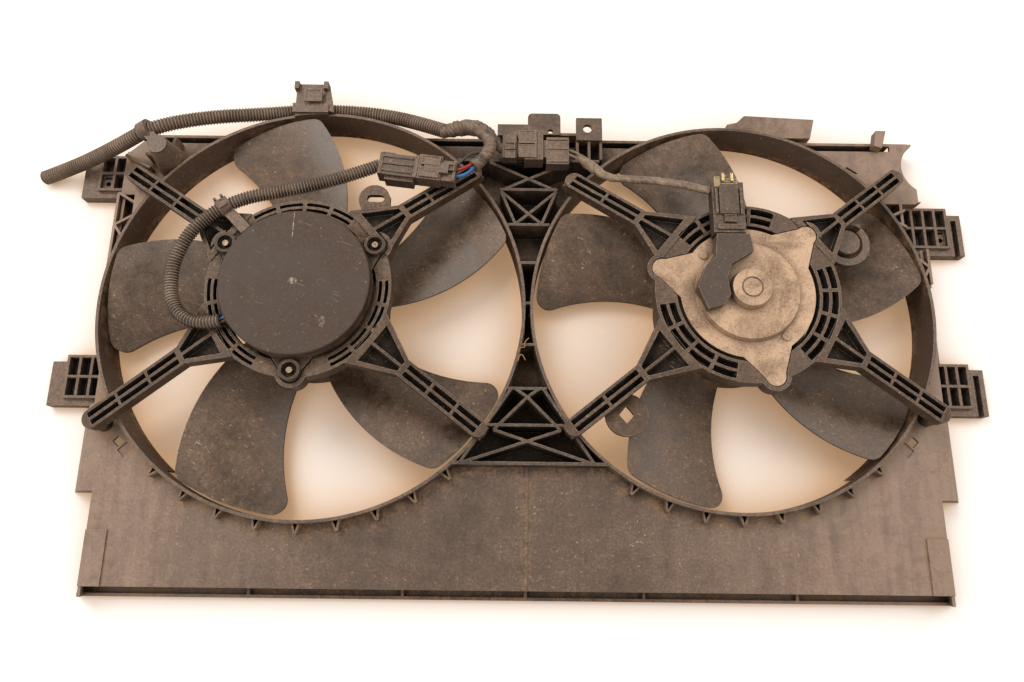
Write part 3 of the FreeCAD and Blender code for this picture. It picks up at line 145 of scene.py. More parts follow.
dusty = {  # glass-filled nylon, injection moulded: near black, browned and greyed by road dust
    "base": "#42332a", "dust": "#a98f7d", "cake": "#ab8a68", "paintedShadeColour": "#140d08", "pale": "#dccab6",
    "dustPatch": 70.0, "dustFine": 2.2, "dustLow": 0.12, "dustLevel": 0.62, "cornerReach": 9.0,
    "cornerDust": 0.5, "deep": (0.55, 0.2), "deepShare": 0.9, "smear": 0.16, "smearTurn": 90.0,
    "fleck": 0.35, "scratchShare": 0.245, "scratch": 0.45, "edge": 0.5, "grain": 0.45,
    "roughLow": 0.38, "roughHigh": 0.66, "bump": 0.3, "round": 0.6, "sideDustAndSheen": 0.0,
    "ridgeDirt": None, "scuffs": (), "sideShift": 0.03, "sideReach": (0.12, 0.33),
    "smearSize": (70.0, 9.0), "speckSize": 0.9, "dotSize": 2.6, "nickSize": (7.0, 1.1, 35.0),
    "scratchSizes": ((26.0, 0.6, 18.0), (16.0, 0.5, -57.0))}


def mouldedPlastic(name, changes):
    look = dict(dusty)
    look.update(changes)
    material, tree = newMaterial(name)
    place = addNode(tree, "ShaderNodeTexCoord").outputs["Object"]
    surface = addNode(tree, "ShaderNodeNewGeometry")
    facing = addNode(tree, "ShaderNodeSeparateXYZ", None, {"Vector": surface.outputs["Normal"]}).outputs[2]
    upward = ramp(tree, facing, -0.1, 0.9, 0.4, 1.0)
    broad = noise(tree, place, look["dustPatch"], 6.0, 0.66, 0.4)
    mottle = noise(tree, place, look["dustPatch"] * 0.16, 5.0, 0.7, 0.6)
    fine = noise(tree, place, look["dustFine"], 4.0, 0.65)
    smears = drawnNoise(tree, place, *look["smearSize"], look["smearTurn"], 6.0)
    exposed = openness(tree, look["cornerReach"])
    # a film of dust in patches, wiped into streaks, on what faces up
    blend = maths(tree, "ADD", maths(tree, "MULTIPLY", broad, 0.66), maths(tree, "MULTIPLY", mottle, 0.34))
    film = ramp(tree, blend, 0.38, 0.62, look["dustLow"], look["dustLevel"])
    film = maths(tree, "MULTIPLY", film,
                 ramp(tree, smears, 0.34, 0.62, 1.0 - look["smear"], 1.0 + look["smear"] * 0.4))
    specks = noise(tree, place, look["speckSize"], 3.0, 0.7)
    film = maths(tree, "MULTIPLY", film, ramp(tree, fine, 0.34, 0.64, 0.55, 1.4))
    film = maths(tree, "MULTIPLY", film, ramp(tree, specks, 0.36, 0.64, 0.7, 1.3))
    across, upPlate, _ = addNode(tree, "ShaderNodeSeparateXYZ", None, {"Vector": place}).outputs
    if look["sideDustAndSheen"]:
        # paler towards both ends of the plate, streaked and cloudy: partly a dust film and partly a painted
        # sheen
        fromMiddle = maths(tree, "ABSOLUTE", maths(tree, "ADD", across, look["sideShift"]))
        outer = ramp(tree, fromMiddle, *look["sideReach"], 0.0, look["sideDustAndSheen"])
        clouds = maths(tree, "ADD", maths(tree, "MULTIPLY", mottle, 0.5),
                       maths(tree, "MULTIPLY", smears, 0.5))
        cloudyDustAndSheen = maths(tree, "MULTIPLY", outer, ramp(tree, clouds, 0.36, 0.62, 0.55, 1.1))
        film = maths(tree, "ADD", film, cloudyDustAndSheen)
    film = maths(tree, "MINIMUM", maths(tree, "MULTIPLY", film, upward), 1.0)
    greyed = mixColour(tree, film, look["base"], look["dust"])
    # tan dirt cakes the corners, and a painted shade darkens the deepest corners and pockets to near black
    corner = ramp(tree, exposed, 0.96, 0.72)
    caked = maths(tree, "MULTIPLY", corner, ramp(tree, mottle, 0.42, 0.6, 0.0, look["cornerDust"]))
    if look["ridgeDirt"]:
        # a run of dirt down the rib in the middle of the plate
        beside = maths(tree, "ABSOLUTE", maths(tree, "SUBTRACT", across, look["ridgeDirt"] * mm))
        run = maths(tree, "MULTIPLY", ramp(tree, beside, 6.0 * mm, 0.5 * mm, 0.0, 0.55),
                    ramp(tree, mottle, 0.4, 0.6))
        caked = maths(tree, "MAXIMUM", caked, run)
    caked = maths(tree, "MULTIPLY", caked, ramp(tree, fine, 0.35, 0.6, 0.3, 1.2))
    recoloured = mixColour(tree, maths(tree, "MINIMUM", caked, 1.0), greyed, look["cake"])
    # painted shade: the deepest corners and pockets are darkened to near black
    deepHigh, deepLow = look["deep"]
    paintedShade = ramp(tree, exposed, deepHigh, deepLow, 0.0, look["deepShare"])
    withPaintedShade = mixColour(tree, paintedShade, recoloured, look["paintedShadeColour"])
    # pale flecks and nicks, sparse, then long scratches
    dots = ramp(tree, noise(tree, place, look["dotSize"], 2.0, 0.5), 0.69, 0.74)
    nicks = ramp(tree, drawnNoise(tree, place, *look["nickSize"]), 0.71, 0.76)
    flecks = maths(tree, "MULTIPLY", maths(tree, "MAXIMUM", dots, nicks),
                   ramp(tree, broad, 0.42, 0.6, 0.15, look["fleck"]))
    marks = maths(tree, "MAXIMUM", *[scratches(tree, place, *size, look["scratchShare"])
                                     for size in look["scratchSizes"]])
    # rubbed edges show paler than the faces beside them, partly wear and partly a painted highlight
    rounded, turn = roundedEdges(tree, surface, look["round"])
    wornAndHighlighted = maths(tree, "MULTIPLY", ramp(tree, turn, edgeFlat, edgeTurned),
                   ramp(tree, fine, 0.35, 0.62, 0.15, look["edge"]))
    for x, y, halfWidth, halfLength, amount in look["scuffs"]:
        # one rubbed place: its middle, half width and half length in mm, and its strength
        aside = maths(tree, "DIVIDE", maths(tree, "SUBTRACT", across, x * mm), halfWidth * mm)
        above = maths(tree, "DIVIDE", maths(tree, "SUBTRACT", upPlate, y * mm), halfLength * mm)
        far = maths(tree, "ADD", maths(tree, "MULTIPLY", aside, aside),
                    maths(tree, "MULTIPLY", above, above))
        spot = maths(tree, "MULTIPLY", ramp(tree, far, 1.0, 0.3, 0.0, amount), ramp(tree, fine, 0.4, 0.6))
        flecks = maths(tree, "MAXIMUM", flecks, spot)
    wearAndEdgeHighlight = maths(tree, "MAXIMUM", maths(tree, "MULTIPLY", marks, look["scratch"]),
                 maths(tree, "MAXIMUM", flecks, wornAndHighlighted))
    colour = mixColour(tree, wearAndEdgeHighlight, withPaintedShade, look["pale"])
    rough = maths(tree, "ADD", ramp(tree, blend, 0.4, 0.6, look["roughLow"], look["roughHigh"]),
                  maths(tree, "MAXIMUM", maths(tree, "MULTIPLY", caked, 0.2),
                        maths(tree, "MULTIPLY", paintedShade, 0.4)))
    grain = noise(tree, place, look["grain"], 2.0, 0.5)
    height = maths(tree, "ADD", maths(tree, "MULTIPLY", grain, 0.3),
                   maths(tree, "ADD", maths(tree, "MULTIPLY", maths(tree, "ADD", film, caked), 0.6),
                         maths(tree, "MULTIPLY", marks, -0.6)))
    bump = addNode(tree, "ShaderNodeBump", {"Strength": look["bump"], "Distance": 0.3 * mm},
                   {"Height": height, "Normal": rounded})
    finishMaterial(tree, {"Base Color": colour, "Roughness": rough, "Normal": bump.outputs[0]},
                   {"IOR": 1.5})
    return material


metalLook = {  # low carbon steel, zinc plated and drawn: dull, blotched by oxide and dust
    "base": "#c8a78a", "stain": "#957760", "dust": "#e2c9ad", "dark": "#4a3828",
    "metallic": 0.25, "roughLow": 0.34, "roughHigh": 0.62, "patch": 30.0, "fine": 1.4,
    "round": 0.7, "bump": 0.6, "edge": 0.65, "pits": 0.6, "wornAndHighlighted": "#ecd8be", "cornerReach": 9.0,
    "scratchSize": (18.0, 0.4, 33.0), "scratchShare": 0.25, "pitSize": 2.2}


def platedSteel(name, changes):
    look = dict(metalLook)
    look.update(changes)
    material, tree = newMaterial(name)
    place = addNode(tree, "ShaderNodeTexCoord").outputs["Object"]
    patches = noise(tree, place, look["patch"], 6.0, 0.65, 0.6)
    fine = noise(tree, place, look["fine"], 5.0, 0.7)
    blotch = mixColour(tree, ramp(tree, patches, 0.42, 0.6), look["base"], look["stain"])
    film = maths(tree, "MULTIPLY", ramp(tree, fine, 0.42, 0.7), 0.55)
    dusted = mixColour(tree, film, blotch, look["dust"])
    exposed = openness(tree, look["cornerReach"])
    marks = scratches(tree, place, *look["scratchSize"], look["scratchShare"])
    # painted shade: hollows and corners darkened towards the dark colour, which the pits use as well
    recoloured = mixColour(tree, maths(tree, "MULTIPLY", ramp(tree, exposed, 0.9, 0.35), 0.9),
                      dusted, look["dark"])
    spots = ramp(tree, noise(tree, place, look["pitSize"], 5.0, 0.75), 0.54, 0.68, 0.0, look["pits"])
    pitted = mixColour(tree, spots, recoloured, look["dark"])
    surface = addNode(tree, "ShaderNodeNewGeometry")
    rounded, turn = roundedEdges(tree, surface, look["round"])
    # rubbed edges paler than the faces, partly wear and partly a painted highlight
    wornAndHighlighted = ramp(tree, turn, edgeFlat, edgeTurned, 0.0, look["edge"])
    paleMarked = maths(tree, "MAXIMUM", wornAndHighlighted, maths(tree, "MULTIPLY", marks, 0.35))
    lit = mixColour(tree, paleMarked, pitted, look["wornAndHighlighted"])
    height = maths(tree, "ADD", maths(tree, "MULTIPLY", fine, 0.5), maths(tree, "MULTIPLY", marks, -0.5))
    bump = addNode(tree, "ShaderNodeBump", {"Strength": look["bump"], "Distance": 0.25 * mm},
                   {"Height": height, "Normal": rounded})
    rough = ramp(tree, patches, 0.35, 0.65, look["roughLow"], look["roughHigh"])
    finishMaterial(tree, {"Base Color": lit, "Roughness": rough, "Normal": bump.outputs[0]},
                   {"Metallic": look["metallic"]})
    return material


def plainStock(name, look):
    # one stock material with a fine unevenness: base, second colour, metallic, roughness, grain in mm
    material, tree = newMaterial(name)
    place = addNode(tree, "ShaderNodeTexCoord").outputs["Object"]
    uneven = noise(tree, place, look["grain"], 4.0, 0.6)
    broad = noise(tree, place, look["grain"] * 9, 3.0, 0.5)
    amount = maths(tree, "MULTIPLY", ramp(tree, uneven, 0.35, 0.7), ramp(tree, broad, 0.3, 0.7, 0.4, 1.0))
    colour = mixColour(tree, amount, look["base"], look["second"])
    bump = addNode(tree, "ShaderNodeBump", {"Strength": look.get("bump", 0.2), "Distance": 0.2 * mm},
                   {"Height": uneven})
    rough = ramp(tree, broad, 0.3, 0.7, look["rough"] - 0.08, look["rough"] + 0.1)
    finishMaterial(tree, {"Base Color": colour, "Roughness": rough, "Normal": bump.outputs[0]},
                   {"Metallic": look["metallic"]})
    return material


shroudNylon = mouldedPlastic("shroudNylonMoulded", {"sideDustAndSheen": 0.78, "dustLevel": 0.42, "ridgeDirt": 7.0,
                                                   "cornerReach": 13.0, "cornerDust": 1.0,
                                                   "fleck": 0.55})
barrelNylon = mouldedPlastic("barrelNylonMoulded", {"cornerReach": 12.0, "cornerDust": 1.0})
latticeNylon = mouldedPlastic("latticeNylonMoulded", {"base": "#2c2119", "dustLow": 0.05, "dustLevel": 0.4,
                                                     "cornerReach": 18.0, "deep": (0.74, 0.3),
                                                     "deepShare": 0.97, "edge": 0.85, "round": 0.8,
                                                     "fleck": 0.2})
carrierNylon = mouldedPlastic("carrierNylonMoulded", {"base": "#33251b", "dust": "#9d806a", "dustLow": 0.1,
                                                     "dustLevel": 0.5, "cornerReach": 16.0,
                                                     "deep": (0.86, 0.5),
                                                     "deepShare": 0.97, "edge": 0.9, "cornerDust": 0.9,
                                                     "round": 0.8, "dustPatch": 26.0, "fleck": 0.6})
bracketNylon = mouldedPlastic("bracketNylonMoulded", {"dustLow": 0.25, "dustLevel": 0.6, "edge": 0.7,
                                                     "cornerReach": 11.0, "deep": (0.66, 0.25),
                                                     "deepShare": 0.97, "dustPatch": 30.0})
fanNylon = mouldedPlastic("fanNylonMoulded", {"base": "#36271d", "dust": "#ab8c73", "dustLow": 0.04,
                                              "dustLevel": 0.42, "roughLow": 0.26, "roughHigh": 0.46,
                                              "scratchShare": 0.247, "scratch": 0.5, "fleck": 0.8,
                                              "smearTurn": 60.0, "bump": 0.2, "dustPatch": 55.0})
coverNylon = mouldedPlastic("coverPolypropyleneMoulded", {"base": "#2e2018", "dust": "#7d6250",
                                                          "dustLow": 0.08, "dustLevel": 0.3,
                                                          "roughLow": 0.52, "dustPatch": 60.0,
                                                          "cornerDust": 0.6,
                                                          "scratchShare": 0.25, "bump": 0.18,
                                                          "deep": (0.78, 0.4), "deepShare": 0.97,
                                                          "scuffs": ((-175, 15, 4.0, 3.0, 0.7),
                                                                     (-178, 62, 0.5, 14.0, 0.9),
                                                                     (-150, -18, 2.5, 6.0, 0.4))})
clipNylon = mouldedPlastic("clipNylonMoulded", {"base": "#3b2f25", "dustLow": 0.2, "dustLevel": 0.6,
                                                "dustPatch": 18.0, "cornerReach": 5.0})
connectorNylon = mouldedPlastic("connectorNylonMoulded", {"base": "#4a3c30", "dustLow": 0.25,
                                                          "dustLevel": 0.6, "dustPatch": 14.0,
                                                          "round": 0.5, "cornerReach": 4.0,
                                                          "deep": (0.7, 0.3), "edge": 0.8})
plugNylon = mouldedPlastic("plugNylonMoulded", {"base": "#33281f", "dustLow": 0.08, "dustLevel": 0.4,
                                                "dustPatch": 12.0, "round": 0.5, "cornerReach": 4.0,
                                                "deep": (0.7, 0.3), "edge": 0.8})
insulatorNylon = mouldedPlastic("insulatorNylonMoulded", {"base": "#3f322b", "dust": "#7d6a5c",
                                                          "dustLow": 0.1, "dustLevel": 0.35,
                                                          "dustPatch": 22.0, "edge": 0.9, "round": 0.9,
                                                          "roughLow": 0.42, "roughHigh": 0.56})
endPlateSteel = platedSteel("endPlateSteelZincPlated", {})
canSteel = platedSteel("canSteelBlackCoated", {"base": "#3a322b", "stain": "#2b241f", "dust": "#6d5b4b",
                                               "dark": "#1c1713", "metallic": 0.1})
screwSteel = platedSteel("screwSteelZincPlated", {"base": "#8b7b69", "stain": "#6b5a49", "metallic": 0.6,
                                                  "patch": 6.0})
shaftSteel = plainStock("shaftSteelGround", {"base": "#b9b5ae", "second": "#8f8a82", "metallic": 1.0,
                                             "rough": 0.28, "grain": 0.8})
bushBronze = plainStock("bushBronzeSintered", {"base": "#a5803f", "second": "#6f5427", "metallic": 0.9,
                                               "rough": 0.45, "grain": 0.5})
magnetFerrite = plainStock("magnetFerriteSintered", {"base": "#3b3a3c", "second": "#262527", "metallic": 0.0,
                                                     "rough": 0.55, "grain": 0.6})
coreSteel = plainStock("coreSteelStamped", {"base": "#8e8a84", "second": "#5e5a55", "metallic": 0.9,
                                            "rough": 0.4, "grain": 0.7})
windingCopper = plainStock("windingCopperEnamelled", {"base": "#a4562b", "second": "#6b3217",
                                                      "metallic": 0.7, "rough": 0.32, "grain": 0.7})
commutatorCopper = plainStock("commutatorCopperTurned", {"base": "#c07f52", "second": "#7d4a2c",
                                                         "metallic": 1.0, "rough": 0.3, "grain": 0.9})
brushCarbon = plainStock("brushCarbonPressed", {"base": "#2d2b29", "second": "#413d39", "metallic": 0.2,
                                                "rough": 0.6, "grain": 0.4})
ivoryNylon = plainStock("ivoryNylonMoulded", {"base": "#c7b28c", "second": "#8d7556", "metallic": 0.0,
                                              "rough": 0.45, "grain": 1.2})
redInsulation = plainStock("redPvcExtruded", {"base": "#c2262c", "second": "#8f2426", "metallic": 0.0,
                                              "rough": 0.35, "grain": 1.5, "bump": 0.08})
blueInsulation = plainStock("bluePvcExtruded", {"base": "#3b78b8", "second": "#2f5c8f", "metallic": 0.0,
                                                "rough": 0.35, "grain": 1.5, "bump": 0.08})
blackInsulation = plainStock("blackPvcExtruded", {"base": "#2a2522", "second": "#5a4c40", "metallic": 0.0,
                                                  "rough": 0.4, "grain": 1.5, "bump": 0.08})
greyInsulation = plainStock("greyPvcExtruded", {"base": "#8f7c68", "second": "#6a5846", "metallic": 0.0,
                                                "rough": 0.45, "grain": 2.0, "bump": 0.1})
sleeveVinyl = plainStock("sleeveVinylExtruded", {"base": "#a58d76", "second": "#6e5b4b", "metallic": 0.0,
                                                 "rough": 0.42, "grain": 2.5, "bump": 0.35})
terminalBrass = plainStock("terminalBrassTinned", {"base": "#dccb9c", "second": "#a8905c", "metallic": 0.7,
                                                   "rough": 0.35, "grain": 0.8, "bump": 0.1})
strawFibre = plainStock("strawFibreDried", {"base": "#c99a62", "second": "#8f6336", "metallic": 0.0,
                                            "rough": 0.6, "grain": 1.0, "bump": 0.2})
print("finishes made")


# harness routes in millimetres, y measured from the lower edge of the part


def inMetres(route):
    return [Vector((x * mm, (y - middleY) * mm, z * mm)) for x, y, z in route]


mainRoute = ((-435, 363, 5.8), (-398, 369, 19), (-352, 375, 44), (-318, 386, 58.5), (-278, 403, 47),
             (-228, 416, 32), (-188, 422.2, 28), (-140, 420.5, 28), (-100, 411, 33), (-67, 393, 46))
branchRoute = ((-118, 346.5, 69.5), (-150, 331, 74), (-190, 318, 79), (-228, 309, 81.5), (-258, 288, 82),
               (-272, 260, 82), (-273, 236, 82.5), (-268, 218, 84.5), (-256, 206, 86), (-241, 203, 86.3),
               (-229, 205.5, 86.3))
wrapRoute = ((-70, 392.3, 44.8), (-55, 394, 50), (-38, 391, 56.5), (-25, 375, 61.5), (-29, 359, 65.5),
             (-40, 347, 68))
wrapBranchRoute = ((-62, 393.5, 49), (-46, 397.5, 53), (-30, 392, 52), (-22, 382, 47), (-15, 376, 43.5))
redWireRoute = ((-56, 341.5, 71.5), (-50, 341.5, 74), (-44, 346, 72), (-37, 352, 67.5))
blueWireRoute = ((-56, 336.5, 71), (-49, 335.5, 73.5), (-42, 341, 72), (-37, 350, 67.5))
blackWireRoute = ((-55, 344.5, 71), (-49, 350, 74), (-42, 358, 72), (-33, 362, 66))
leadWireRoute = ((41, 376, 45), (47, 372, 50), (54, 363, 54), (60, 355, 58))
leadSleeveRoute = ((50, 366.5, 51.5), (59, 355, 57), (72, 341, 64), (84, 336.5, 71), (108, 333, 75.5),
                   (135, 326, 82), (152, 318.7, 86))
motorWireRoute = ((-232, 204.5, 86.2), (-227, 206.5, 86.4), (-222, 208.5, 86.2))


def routeLine(name, points, step):
    # a smooth line through space, and points along it at an even spacing
    data = bpy.data.curves.new(name + "Line", "CURVE")
    data.dimensions = "3D"
    data.resolution_u = 48
    spline = data.splines.new("NURBS")
    spline.points.add(len(points) - 1)
    for place, point in zip(spline.points, points):
        place.co = (*point, 1.0)
    spline.order_u = 3
    spline.use_endpoint_u = True
    holder = bpy.data.objects.new(name + "Line", data)
    bpy.context.scene.collection.objects.link(holder)
    bpy.context.view_layer.update()
    mesh = bpy.data.meshes.new_from_object(holder)
    raw = [vertex.co.copy() for vertex in mesh.vertices]
    bpy.data.objects.remove(holder)
    bpy.data.meshes.remove(mesh)
    total = sum((b - a).length for a, b in zip(raw, raw[1:]))
    count = max(4, round(total / step))
    even, walked, index = [raw[0].copy()], 0.0, 0
    for k in range(1, count):
        target = total * k / count
        while index < len(raw) - 2 and walked + (raw[index + 1] - raw[index]).length < target:
            walked += (raw[index + 1] - raw[index]).length
            index += 1
        a, b = raw[index], raw[index + 1]
        even.append(a.lerp(b, (target - walked) / max((b - a).length, 1e-9)))
    even.append(raw[-1].copy())
    return even, total


def sweptTube(name, line, sides, radiusAt, material, flat=1.0, bore=None):
    # a closed tube along a line; radiusAt gives the radius at a distance and an angle, bore is the
    # radius of the hole that shows in both ends
    side = Vector((0, 0, 1))
    distance = 0.0
    vertices, faces, uvs = [], [], []
    for i, point in enumerate(line):
        ahead = line[min(i + 1, len(line) - 1)] - line[max(i - 1, 0)]
        along = ahead.normalized()
        side = (side - along * side.dot(along)).normalized()
        other = along.cross(side)
        if i:
            distance += (point - line[i - 1]).length
        for k in range(sides):
            angle = 2 * math.pi * k / sides
            radius = radiusAt(distance, angle)
            vertices.append(point + other * (math.cos(angle) * radius) +
                            side * (math.sin(angle) * radius * flat))
            uvs.append((k / sides, distance))
    count = len(line)
    for i in range(count - 1):
        for k in range(sides):
            a, b = i * sides + k, i * sides + (k + 1) % sides
            faces.append((a, b, b + sides, a + sides))
    if bore is None:
        faces.append(tuple(reversed(range(sides))))
        faces.append(tuple(range((count - 1) * sides, count * sides)))
    else:
        # an open end: the wall turns inwards and goes a little way in, then closes
        for first, step in ((0, 1), (count - 1, -1)):
            centre = line[first]
            outer = [first * sides + k for k in range(sides)]
            previous = outer
            for depth in (0, 3):
                ringCentre = line[first + step * depth]
                added = []
                for k in range(sides):
                    spoke = vertices[outer[k]] - centre
                    added.append(len(vertices))
                    vertices.append(ringCentre + spoke.normalized() * bore)
                    uvs.append((k / sides, 0.0))
                for k in range(sides):
                    quad = (previous[k], added[k], added[(k + 1) % sides], previous[(k + 1) % sides])
                    faces.append(quad if step > 0 else tuple(reversed(quad)))
                previous = added
            faces.append(tuple(previous) if step < 0 else tuple(reversed(previous)))
    mesh = bpy.data.meshes.new(name)
    mesh.from_pydata([tuple(v) for v in vertices], [], faces)
    layer = mesh.uv_layers.new(name="alongTube")
    for polygon in mesh.polygons:
        around = [uvs[v] for v in polygon.vertices]
        seam = max(u for u, _ in around) > 0.5
        for loopIndex, (u, v) in zip(polygon.loop_indices, around):
            layer.data[loopIndex].uv = (u + 1.0 if seam and u < 0.01 else u, v)
    shape = bmesh.new()
    shape.from_mesh(mesh)
    bmesh.ops.recalc_face_normals(shape, faces=shape.faces)
    shape.to_mesh(mesh)
    shape.free()
    mesh.materials.append(material)
    piece = bpy.data.objects.new(name, mesh)
    bpy.context.scene.collection.objects.link(piece)
    for polygon in mesh.polygons:
        polygon.use_smooth = len(polygon.vertices) == 4
    return piece


def conduitFinish(name, look):
    # split polyethylene loom tube, extruded and corrugated: painted shade darkens the grooves, and the
    # crests are rubbed and carry a painted highlight
    material, tree = newMaterial(name)
    place = addNode(tree, "ShaderNodeTexCoord").outputs["Object"]
    alongTube = addNode(tree, "ShaderNodeUVMap", {"uv_map": "alongTube"})
    parts = addNode(tree, "ShaderNodeSeparateXYZ", None, {"Vector": alongTube.outputs[0]})
    phase = maths(tree, "FRACT", maths(tree, "MULTIPLY", parts.outputs[1], 1.0 / (look["pitch"] * mm)))
    fromCrest = maths(tree, "ABSOLUTE", maths(tree, "SUBTRACT", phase, 0.5))
    groove = ramp(tree, fromCrest, 0.1, 0.36)
    fine = noise(tree, place, 1.6, 4.0, 0.65)
    patches = noise(tree, place, 22.0, 4.0, 0.6)
    # painted shade: the grooves are darkened towards the groove colour
    grooveShade = maths(tree, "MULTIPLY", groove, ramp(tree, fine, 0.3, 0.6, 0.35, 1.0))
    body = mixColour(tree, ramp(tree, patches, 0.38, 0.65, 0.0, 0.8), look["base"], look["dust"])
    # paler crests: rubbed, and a painted highlight
    crest = maths(tree, "MULTIPLY", ramp(tree, fromCrest, 0.1, 0.0),
                  ramp(tree, fine, 0.35, 0.6, 0.15, look["wornAndHighlighted"]))
    crested = mixColour(tree, crest, body, look["pale"])
    colour = mixColour(tree, maths(tree, "MULTIPLY", grooveShade, look["grooveShade"]), crested, look["groove"])
    bump = addNode(tree, "ShaderNodeBump", {"Strength": 0.2, "Distance": 0.2 * mm}, {"Height": fine})
    rough = ramp(tree, fine, 0.3, 0.7, look["rough"], look["rough"] + 0.18)
    finishMaterial(tree, {"Base Color": colour, "Roughness": rough, "Normal": bump.outputs[0]})
    return material


conduitLook = {"pitch": 2.6, "crest": 6.4, "root": 5.2, "bore": 4.3, "base": "#6b5747", "dust": "#a88f7a",
               "groove": "#2a1f17", "grooveShade": 0.9, "wornAndHighlighted": 0.6, "pale": "#cdb49b", "rough": 0.4,
               "sides": 28, "seam": None}
branchLook = {"pitch": 2.4, "crest": 5.6, "root": 4.4, "bore": 3.4, "base": "#5f4d3f", "dust": "#a38b76",
              "groove": "#1a120c", "grooveShade": 0.96, "wornAndHighlighted": 0.8, "pale": "#d8c2aa", "rough": 0.2,
              "sides": 28, "seam": math.radians(60)}
ringsPerPitch = 6


def corrugated(look):
    # crest and groove of the tube wall; a split tube has its two lips half a pitch apart
    seam, slope, lipDepth, lipWidth = look["seam"], 2.4, 0.9, 0.09

    def radiusAt(distance, angle):
        shift = 0.0
        if seam is not None and math.cos(angle - seam) > 0.0:
            shift = 0.5 * look["pitch"] * mm
        phase = ((distance + shift) / (look["pitch"] * mm)) % 1.0
        rise = min(1.0, max(0.0, slope * (0.5 - abs(phase - 0.5)) - 0.1))
        radius = look["root"] + (look["crest"] - look["root"]) * rise
        if seam is not None:
            radius -= lipDepth * math.exp(-(math.cos(angle - seam) / lipWidth) ** 2)
        return radius * mm
    return radiusAt


def tapeFinish(name, look):
    # calendered vinyl tape wound on by hand: soft sheen, dust on it, painted shade where the laps end and
    # painted highlights along the creases
    material, tree = newMaterial(name)
    place = addNode(tree, "ShaderNodeTexCoord").outputs["Object"]
    alongTube = addNode(tree, "ShaderNodeUVMap", {"uv_map": "alongTube"})
    parts = addNode(tree, "ShaderNodeSeparateXYZ", None, {"Vector": alongTube.outputs[0]})
    laps = maths(tree, "MULTIPLY", parts.outputs[1], 1.0 / (look["pitch"] * mm))
    phase = maths(tree, "FRACT", maths(tree, "ADD", laps, parts.outputs[0]))
    # painted shade along the end of each lap
    lapEdge = ramp(tree, phase, 0.1, 0.0)
    patches = noise(tree, place, 12.0, 5.0, 0.65, 0.5)
    fine = noise(tree, place, 1.3, 4.0, 0.6)
    creases = drawnNoise(tree, place, 9.0, 1.6, 40.0, 3.0)
    body = mixColour(tree, ramp(tree, patches, 0.36, 0.62), look["base"], look["dust"])
    # painted highlight along the creases
    paleMarked = mixColour(tree, ramp(tree, creases, 0.6, 0.7, 0.0, 0.5), body, look["pale"])
    colour = mixColour(tree, maths(tree, "MULTIPLY", lapEdge, 0.8), paleMarked, look["dark"])
    height = maths(tree, "ADD", maths(tree, "MULTIPLY", creases, 0.8), maths(tree, "MULTIPLY", fine, 0.25))
    bump = addNode(tree, "ShaderNodeBump", {"Strength": 0.5, "Distance": 0.6 * mm}, {"Height": height})
    rough = ramp(tree, patches, 0.35, 0.65, look["rough"], look["rough"] + 0.2)
    finishMaterial(tree, {"Base Color": colour, "Roughness": rough, "Normal": bump.outputs[0]})
    return material


tapeLook = {"pitch": 8.0, "lap": 0.55, "fold": 0.55, "base": "#43352a", "dust": "#8c7562",
            "pale": "#c2ab95", "dark": "#1d140e", "rough": 0.3}
sleeveLook = dict(tapeLook, pitch=26.0, lap=0.12, fold=0.3, base="#6a5747", dust="#a08973",
                  dark="#57473a")
stemTube = {"route": wrapRoute, "step": 0.5, "sides": 32, "radius": 5.1, "wide": (0, 46, 1.6),
            "bore": 3.4}
forkTube = {"route": wrapBranchRoute, "step": 0.5, "sides": 28, "radius": 4.3}
sleeveTube = {"route": leadSleeveRoute, "step": 0.6, "sides": 28, "radius": 3.6, "wide": (4, 30, 1.3),
              "bore": 2.2, "flat": 0.72}
wireTube = {"step": 0.8, "sides": 12}


def taped(look, radius, wide=None):
    # each turn of tape laps the one before, with soft folds; wide swells a stretch (from, to, by) in mm
    def radiusAt(distance, angle):
        along = distance / mm
        turn = (along / look["pitch"] + angle / (2 * math.pi)) % 1.0
        folds = math.sin(3 * angle + along * 0.55) * math.sin(along * 1.15 + 2 * angle)
        swell = 0.0
        if wide:
            middle, half = (wide[0] + wide[1]) / 2, (wide[1] - wide[0]) / 2
            swell = wide[2] * max(0.0, 1.0 - ((along - middle) / half) ** 2)
        return (radius + swell + look["lap"] * (0.5 - turn) + look["fold"] * folds) * mm
    return radiusAt


def rideOnShroud(piece, slot, *replaced):
    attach(piece, "shroud")
    if replaced:
        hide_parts(*replaced)


def layConduit(name, route, look, material):
    line, length = routeLine(name, inMetres(route), look["pitch"] * mm / ringsPerPitch)
    tube = sweptTube(name, line, look["sides"], corrugated(look), conduitFinish(material, look),
                     bore=look["bore"] * mm)
    return tube, line, length


def layTaped(name, tube, look, material, slot, *replaced):
    line, _ = routeLine(name, inMetres(tube["route"]), tube["step"] * mm)
    bore = tube["bore"] * mm if "bore" in tube else None
    piece = sweptTube(name, line, tube["sides"], taped(look, tube["radius"], tube.get("wide")), material,
                      flat=tube.get("flat", 1.0), bore=bore)
    rideOnShroud(piece, slot, *replaced)


def layWire(name, route, radius, material, slot, *replaced):
    line, _ = routeLine(name, inMetres(route), wireTube["step"] * mm)
    wire = sweptTube(name, line, wireTube["sides"], lambda distance, angle: radius * mm, material)
    rideOnShroud(wire, slot, *replaced)


